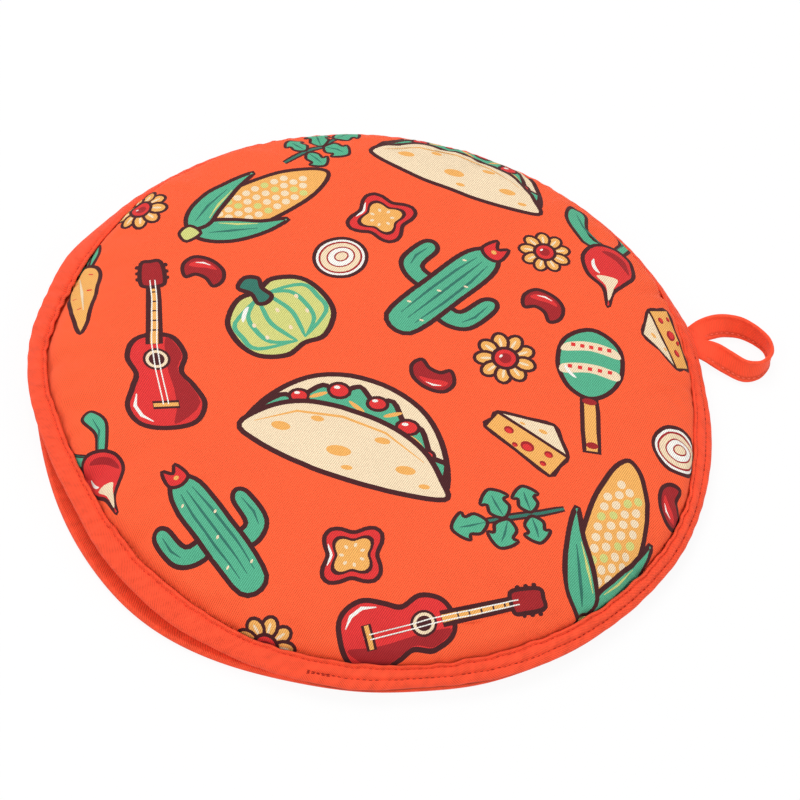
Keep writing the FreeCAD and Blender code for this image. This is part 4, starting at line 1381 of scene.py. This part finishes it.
class WARMER_OT_upper_shell(bpy.types.Operator):
    """Make the upper panel's printed cloth"""

    bl_idname = "warmer.upper_shell"
    bl_label = "Upper Shell"

    def execute(self, context):
        panel, thickness = shared_panel(), context.scene.warmer_sizes.cloth_thickness
        places, faces, inks, names = printed_cut(panel.edge, printed_shapes(), panel.field - UPPER_FINE)
        piece = ply("upper_shell_cloth", panel.face(places), panel.face(places, thickness), faces,
                    "printed_twill", places)
        paint_print(piece, inks, names)
        # The cut cloth is shaded by its form and not by its triangles.
        normals = surface_normals(panel.face, places, NORMAL_STEP)
        shading = [tuple(normal) for normal in np.concatenate([normals, -normals])]
        piece.data.normals_split_custom_set_from_vertices(shading)
        dress(piece, ["upper_shell", "flap_shell"])
        return {"FINISHED"}


class WARMER_OT_upper_padding(bpy.types.Operator):
    """Make the padding and the lining of the upper panel"""

    bl_idname = "warmer.upper_padding"
    bl_label = "Upper Padding and Lining"

    def execute(self, context):
        sizes, panel = context.scene.warmer_sizes, shared_panel()
        places, faces = disc_grid(panel.edge, *UPPER_GRID), disc_faces(*UPPER_GRID)
        along = polar(places)[0]
        squeezed = ease((along - panel.field + 6 * MM) / (6 * MM))
        # Near the rim the padding starts deeper, under the puckers of the cloth.
        gathered = np.exp(-(((along - panel.field + 5 * MM) / (4 * MM)) ** 2)) * (along < panel.field)
        skin = sizes.cloth_thickness + PLY_GAP + 1.3 * gathered * MM
        thick = sizes.padding * (1 - 0.72 * squeezed)
        padding = ply("upper_padding", panel.under(places, skin), panel.under(places, skin + thick),
                      faces, "padding_felt")
        dress(padding, ["upper_batting", "flap_batting"])
        depth = skin + thick + PLY_GAP
        lining = ply("upper_lining_cloth", panel.under(places, depth),
                     panel.under(places, depth + sizes.cloth_thickness), faces, "lining_weave", places)
        dress(lining, ["upper_lining", "flap_lining"])
        return {"FINISHED"}


class WARMER_OT_upper_binding(bpy.types.Operator):
    """Fold the tape round the upper rim and sew it down"""

    bl_idname = "warmer.upper_binding"
    bl_label = "Upper Binding"

    def execute(self, context):
        sizes, panel = context.scene.warmer_sizes, shared_panel()
        angle = around(UPPER_STATIONS)
        section = upper_tape(sizes, angle)
        piece = tape_ring("upper_binding_tape", section, sizes.tape_thickness, angle,
                          upper_painted_shade(section, angle), panel.opened)
        dress(piece, ["upper_binding", "flap_binding"])
        row = panel.opened(on_tape(section, angle, TOP_LEG.index(INNER_ROW)))
        stitches = stitch_row("upper_binding_stitches", [(row, True)], "tape_thread")
        dress(stitches, ["upper_binding_stitch", "flap_binding_stitch"])

        sewn = np.radians(np.linspace(SEAM_START, SEAM_END, SEAM_STATIONS))
        section, seam_row = upper_tape(sizes, sewn), TOP_LEG.index(SEAM_ROW)
        beside = [panel.opened(on_tape(section, sewn, seam_row + step)) for step in (-1, 0, 1, 2)]
        dress(stitch_row("joining_stitches", [(beside[1], False)]), ["joining_seam"])
        share = np.linspace(0, 1, TACK)[:, None]
        for name, end in (("near_end_backtack", slice(TACK)), ("far_end_backtack", slice(-TACK, None))):
            passes = [(beside[first][end] * (1 - share) + beside[last][end] * share, False)
                      for first, last in ((2, 3), (0, 1), (3, 0))]
            tack = stitch_row(name + "_stitches", passes, pitch=TACK_PITCH, stitch=TACK_STITCH)
            dress(tack, [name])
        return {"FINISHED"}


class WARMER_OT_lower_panel(bpy.types.Operator):
    """Make the lower panel: printed cloth, padding, lining, tape and stitches"""

    bl_idname = "warmer.lower_panel"
    bl_label = "Lower Panel"

    def execute(self, context):
        sizes = context.scene.warmer_sizes
        cloth = (0, 0, sizes.cloth_thickness)
        edge, inner = sizes.rim_radius - LOWER_CLOTH_INSET, sizes.rim_radius - sizes.tape_width
        places, faces, inks, names = printed_cut(edge, printed_shapes(LOWER_TURN), edge - LOWER_FINE)
        faces = [tuple(reversed(face)) for face in faces]
        low = lower_face(places, inner, 0.05 * MM, 0.9 * MM)
        shell = ply("lower_shell_cloth", low, low + cloth, faces, "printed_twill", places)
        paint_print(shell, inks, names)
        dress(shell, ["lower_shell"], POUCH)

        places, faces = disc_grid(edge, *LOWER_GRID), disc_faces(*LOWER_GRID)
        lid = lower_lid(places, inner)
        base = lower_face(places, inner, 0.7 * MM, 1.6 * MM)
        padding = ply("lower_padding", lid - (0, 0, 0.7 * MM), base, faces, "padding_felt")
        dress(padding, ["lower_batting"], POUCH)
        lining = ply("lower_lining_cloth", lid, lid - cloth, faces, "lining_weave", places)
        dress(lining, ["lower_lining"], POUCH)

        angle = around(LOWER_STATIONS)
        section = lower_tape_section(sizes, angle)
        tape = tape_ring("lower_binding_tape", section, sizes.tape_thickness, angle,
                         lower_painted_shadow(sizes, section, angle))
        dress(tape, ["lower_binding"], POUCH)
        row = on_tape(section, angle, TOP_LEG.index(INNER_ROW))
        stitches = stitch_row("lower_binding_stitches", [(row, True)], "tape_thread")
        dress(stitches, ["lower_binding_stitch"], POUCH)
        return {"FINISHED"}


LOOP_PATH = [  # middle of the loop's tape in mm, and the lean of its width in degrees
    (146, 9.0, 4.6, 0), (150, 9.3, 4.6, 0), (154, 10.0, 4.7, 2), (159.5, 11.6, 5.6, 22),
    (166.3, 12.2, 6.3, 44), (172.0, 11.2, 6.4, 56), (177.4, 8.8, 6.3, 66), (182.6, 3.6, 6.2, 76),
    (185.8, -2.6, 6.1, 86), (185.0, -9.2, 6.0, 88), (181.0, -13.6, 6.0, 84), (176.2, -15.4, 5.9, 74),
    (170.2, -14.2, 5.9, 58), (163.8, -8.2, 6.4, 40), (158.8, -2.2, 6.2, 18), (154, 1.8, 5.45, 3),
    (150, 3.4, 5.3, 0), (146, 4.4, 5.2, 0),
]
LOOP_POINTS = 40          # round the loop's section
LOOP_ROW, LOOP_LIFT = 0.6, 0.62   # place of its stitches, in its half width and half thickness
LOOP_FREE = (153.5, 12)   # where the tape is free of the rims, and how far it takes to open out, in mm
LOOP_HIDDEN = 30          # points at each end of its path that lie between the rims
EDGE_ROLL = 0.84          # place of the rolled edges, as a share of its half width
ROOT_BEND = (-1 * MM, 9 * MM)   # distances from the loop's hinge outwards, given to dress as start and end


def signed_power(number, power):
    return math.copysign(abs(number) ** power, number)


class WARMER_OT_hanging_loop(bpy.types.Operator):
    """Twist the hanging loop's folded tape out of the rim and sew its edge"""

    bl_idname = "warmer.hanging_loop"
    bl_label = "Hanging Loop"

    def execute(self, context):
        width = context.scene.warmer_sizes.loop_tape
        course = open_curve(LOOP_PATH)
        line, lean, count = course[:, :3] * MM, np.radians(course[:, 3]), len(course)
        run = unit(np.gradient(line, axis=0))
        across = np.column_stack([np.zeros(count), np.cos(lean), np.sin(lean)])
        across = unit(across - run * (across * run).sum(1, keepdims=True))
        flat = np.cross(run, across)
        out = ease((course[:, 0] - LOOP_FREE[0]) / LOOP_FREE[1])
        half = (width / 2 * (0.93 + 0.07 * out))[:, None]
        thick = ((0.22 + 0.75 * out) * MM)[:, None]
        rows, painted_shade = [], []
        for turn in np.linspace(0, TURN, LOOP_POINTS, endpoint=False):
            # Flat faces between full edges, where the tape's own edges are folded in.
            wide, deep = signed_power(math.cos(turn), 0.55), signed_power(math.sin(turn), 0.75)
            deep *= 0.6 + 0.75 * math.exp(-(((abs(wide) - EDGE_ROLL) / 0.14) ** 2))
            rows.append(line + across * half * wide + flat * thick * deep)
            # Painted shade in the groove of the stitch row along one edge, where the tape is free of the
            # rims.
            painted_shade.append(0.55 * out * math.exp(-(((wide + LOOP_ROW) / 0.13) ** 2)))
        index = np.arange(LOOP_POINTS * count).reshape(LOOP_POINTS, count)
        after = np.roll(index, -1, 0)
        faces = [(index[a, k], after[a, k], after[a, k + 1], index[a, k + 1])
                 for a in range(LOOP_POINTS) for k in range(count - 1)]
        faces += [tuple(index[::-1, 0]), tuple(index[:, -1])]
        piece = mesh_object("hanging_loop_tape", np.concatenate(rows), faces, [material("loop_weave")])
        steps = lengths_along(line)
        crosswise = np.repeat(np.abs(np.linspace(-1, 1, LOOP_POINTS)) * width, count)
        set_uv(piece, "tape", np.column_stack([np.tile(steps, LOOP_POINTS), crosswise]))
        store_painted_shade(piece, np.concatenate(painted_shade))
        root = JOINTS["loop_swing"]
        start, end = ((root[0] + bend, 0, root[2]) for bend in ROOT_BEND)
        dress(piece, ["hanging_loop", "loop_tails"], start=start, end=end)

        edge, seen = line - across * half * LOOP_ROW, slice(LOOP_HIDDEN, count - LOOP_HIDDEN)
        paths = [((edge + flat * thick * LOOP_LIFT * side)[seen], False) for side in (-1, 1)]
        dress(stitch_row("loop_edge_stitches", paths, "edge_thread"), ["loop_edge_stitch"], LOOP)
        return {"FINISHED"}


# ---- the stage -------------------------------------------------------------------------------

MIDDLE = (0, 0, 8 * MM)     # of the pouch
AIM = (0.01078, -0.00337)   # from there to what the camera is centred on, right and up, in metres
SENSOR = 36                 # width of the camera's film, in mm
FLOOR = 6                   # half the floor's width, in metres
WORLD_LIGHT, FLOOR_WHITENESS = 0.56, 0.92
LAMPS = (  # name, place, width, power
    ("overhead", (-0.3, 1.3, 2.5), 1.8, 36),
    ("key", (-1.6, -0.8, 1.9), 1.1, 14),
    ("fill", (1.5, -1.7, 1.4), 1.6, 12.5),
)


class WARMER_OT_stage(bpy.types.Operator):
    """Set up the camera, the lights and the pale floor"""

    bl_idname = "warmer.stage"
    bl_label = "Stage"

    def execute(self, context):
        scene, stage = context.scene, context.scene.warmer_stage
        scene.view_settings.view_transform = "Standard"
        turn, height = stage.azimuth, stage.elevation
        level = math.cos(height)
        back = Vector((math.sin(turn) * level, -math.cos(turn) * level, math.sin(height)))
        data = bpy.data.cameras.new("camera")
        scene.camera = camera = put("camera", data)
        data.sensor_width, data.lens = SENSOR, SENSOR * stage.focal_px
        data.clip_start, data.clip_end = 0.05, 20
        rolled = Vector((math.cos(stage.roll), math.sin(stage.roll), 0))
        facing = back.to_track_quat("Z", "Y") @ Vector((1, 0, 0)).rotation_difference(rolled)
        right, up = facing @ Vector((1, 0, 0)), facing @ Vector((0, 1, 0))
        camera.rotation_mode = "QUATERNION"
        camera.rotation_quaternion = facing
        camera.location = Vector(MIDDLE) + right * AIM[0] + up * AIM[1] + back * stage.distance

        corners = [(-FLOOR, -FLOOR, 0), (FLOOR, -FLOOR, 0), (FLOOR, FLOOR, 0), (-FLOOR, FLOOR, 0)]
        mesh_object("floor", corners, [(0, 1, 2, 3)], [floor_material()], smooth=False)
        scene.world = world = scene.world or bpy.data.worlds.new("World")
        world.use_nodes = True
        tree = Tree(world.node_tree)
        background = world.node_tree.nodes["Background"]
        background.inputs["Color"].default_value = (1, 1, 1, 1)
        strength = tree.math("ADD", tree.math("MULTIPLY", tree.seen(), 1.0 - WORLD_LIGHT), WORLD_LIGHT)
        tree.link(strength, background.inputs["Strength"])
        for name, place, size, power in LAMPS:
            lamp = bpy.data.lights.new(name, "AREA")
            lamp.shape, lamp.size, lamp.energy = "DISK", size, power
            lit = put(name, lamp)
            lit.location = place
            lit.rotation_mode = "QUATERNION"
            lit.rotation_quaternion = Vector(place).to_track_quat("Z", "Y")
        return {"FINISHED"}


def floor_material():
    """Plain white floor that keeps a faint shadow."""
    floor, tree, shader = new_material(
        "pale_floor", Base_Color=(0.9, 0.9, 0.9, 1), Roughness=0.9, Specular_IOR_Level=0.0
    )
    white = tree.add("ShaderNodeEmission", Strength=1.0)
    mixed = tree.add("ShaderNodeMixShader")
    share = tree.math("MULTIPLY", tree.seen(), FLOOR_WHITENESS)
    for number, output in enumerate((share, shader.outputs[0], white.outputs[0])):
        tree.link(output, mixed.inputs[number])
    tree.link(mixed.outputs[0], floor.node_tree.nodes["Material Output"].inputs[0])
    return floor


# ---- the add-on ------------------------------------------------------------------------------

PIECES = (
    WARMER_OT_upper_shell, WARMER_OT_upper_padding, WARMER_OT_upper_binding, WARMER_OT_lower_panel,
    WARMER_OT_hanging_loop, WARMER_OT_stage,
)
SETTINGS = {"warmer_sizes": WarmerSizes, "warmer_colours": WarmerColours, "warmer_stage": WarmerStage}


class WARMER_PT_panel(bpy.types.Panel):
    """Buttons for the pouch's pieces and its stage"""

    bl_idname = "WARMER_PT_panel"
    bl_label = "Tortilla Warmer"
    bl_space_type = "VIEW_3D"
    bl_region_type = "UI"
    bl_category = "Warmer"

    def draw(self, context):
        for piece in PIECES:
            self.layout.operator(piece.bl_idname)
        for group in SETTINGS:
            box = self.layout.box()
            settings = getattr(context.scene, group)
            for name in settings.__annotations__:
                box.prop(settings, name)


CLASSES = (*SETTINGS.values(), *PIECES, WARMER_PT_panel)


def register():
    for item in CLASSES:
        bpy.utils.register_class(item)
    for name, group in SETTINGS.items():
        setattr(bpy.types.Scene, name, bpy.props.PointerProperty(type=group))


def unregister():
    for name in SETTINGS:
        delattr(bpy.types.Scene, name)
    for item in reversed(CLASSES):
        bpy.utils.unregister_class(item)


def main():
    register()
    for piece in PIECES:
        group, name = piece.bl_idname.split(".")
        getattr(getattr(bpy.ops, group), name)()


if __name__ == "__main__":
    main()
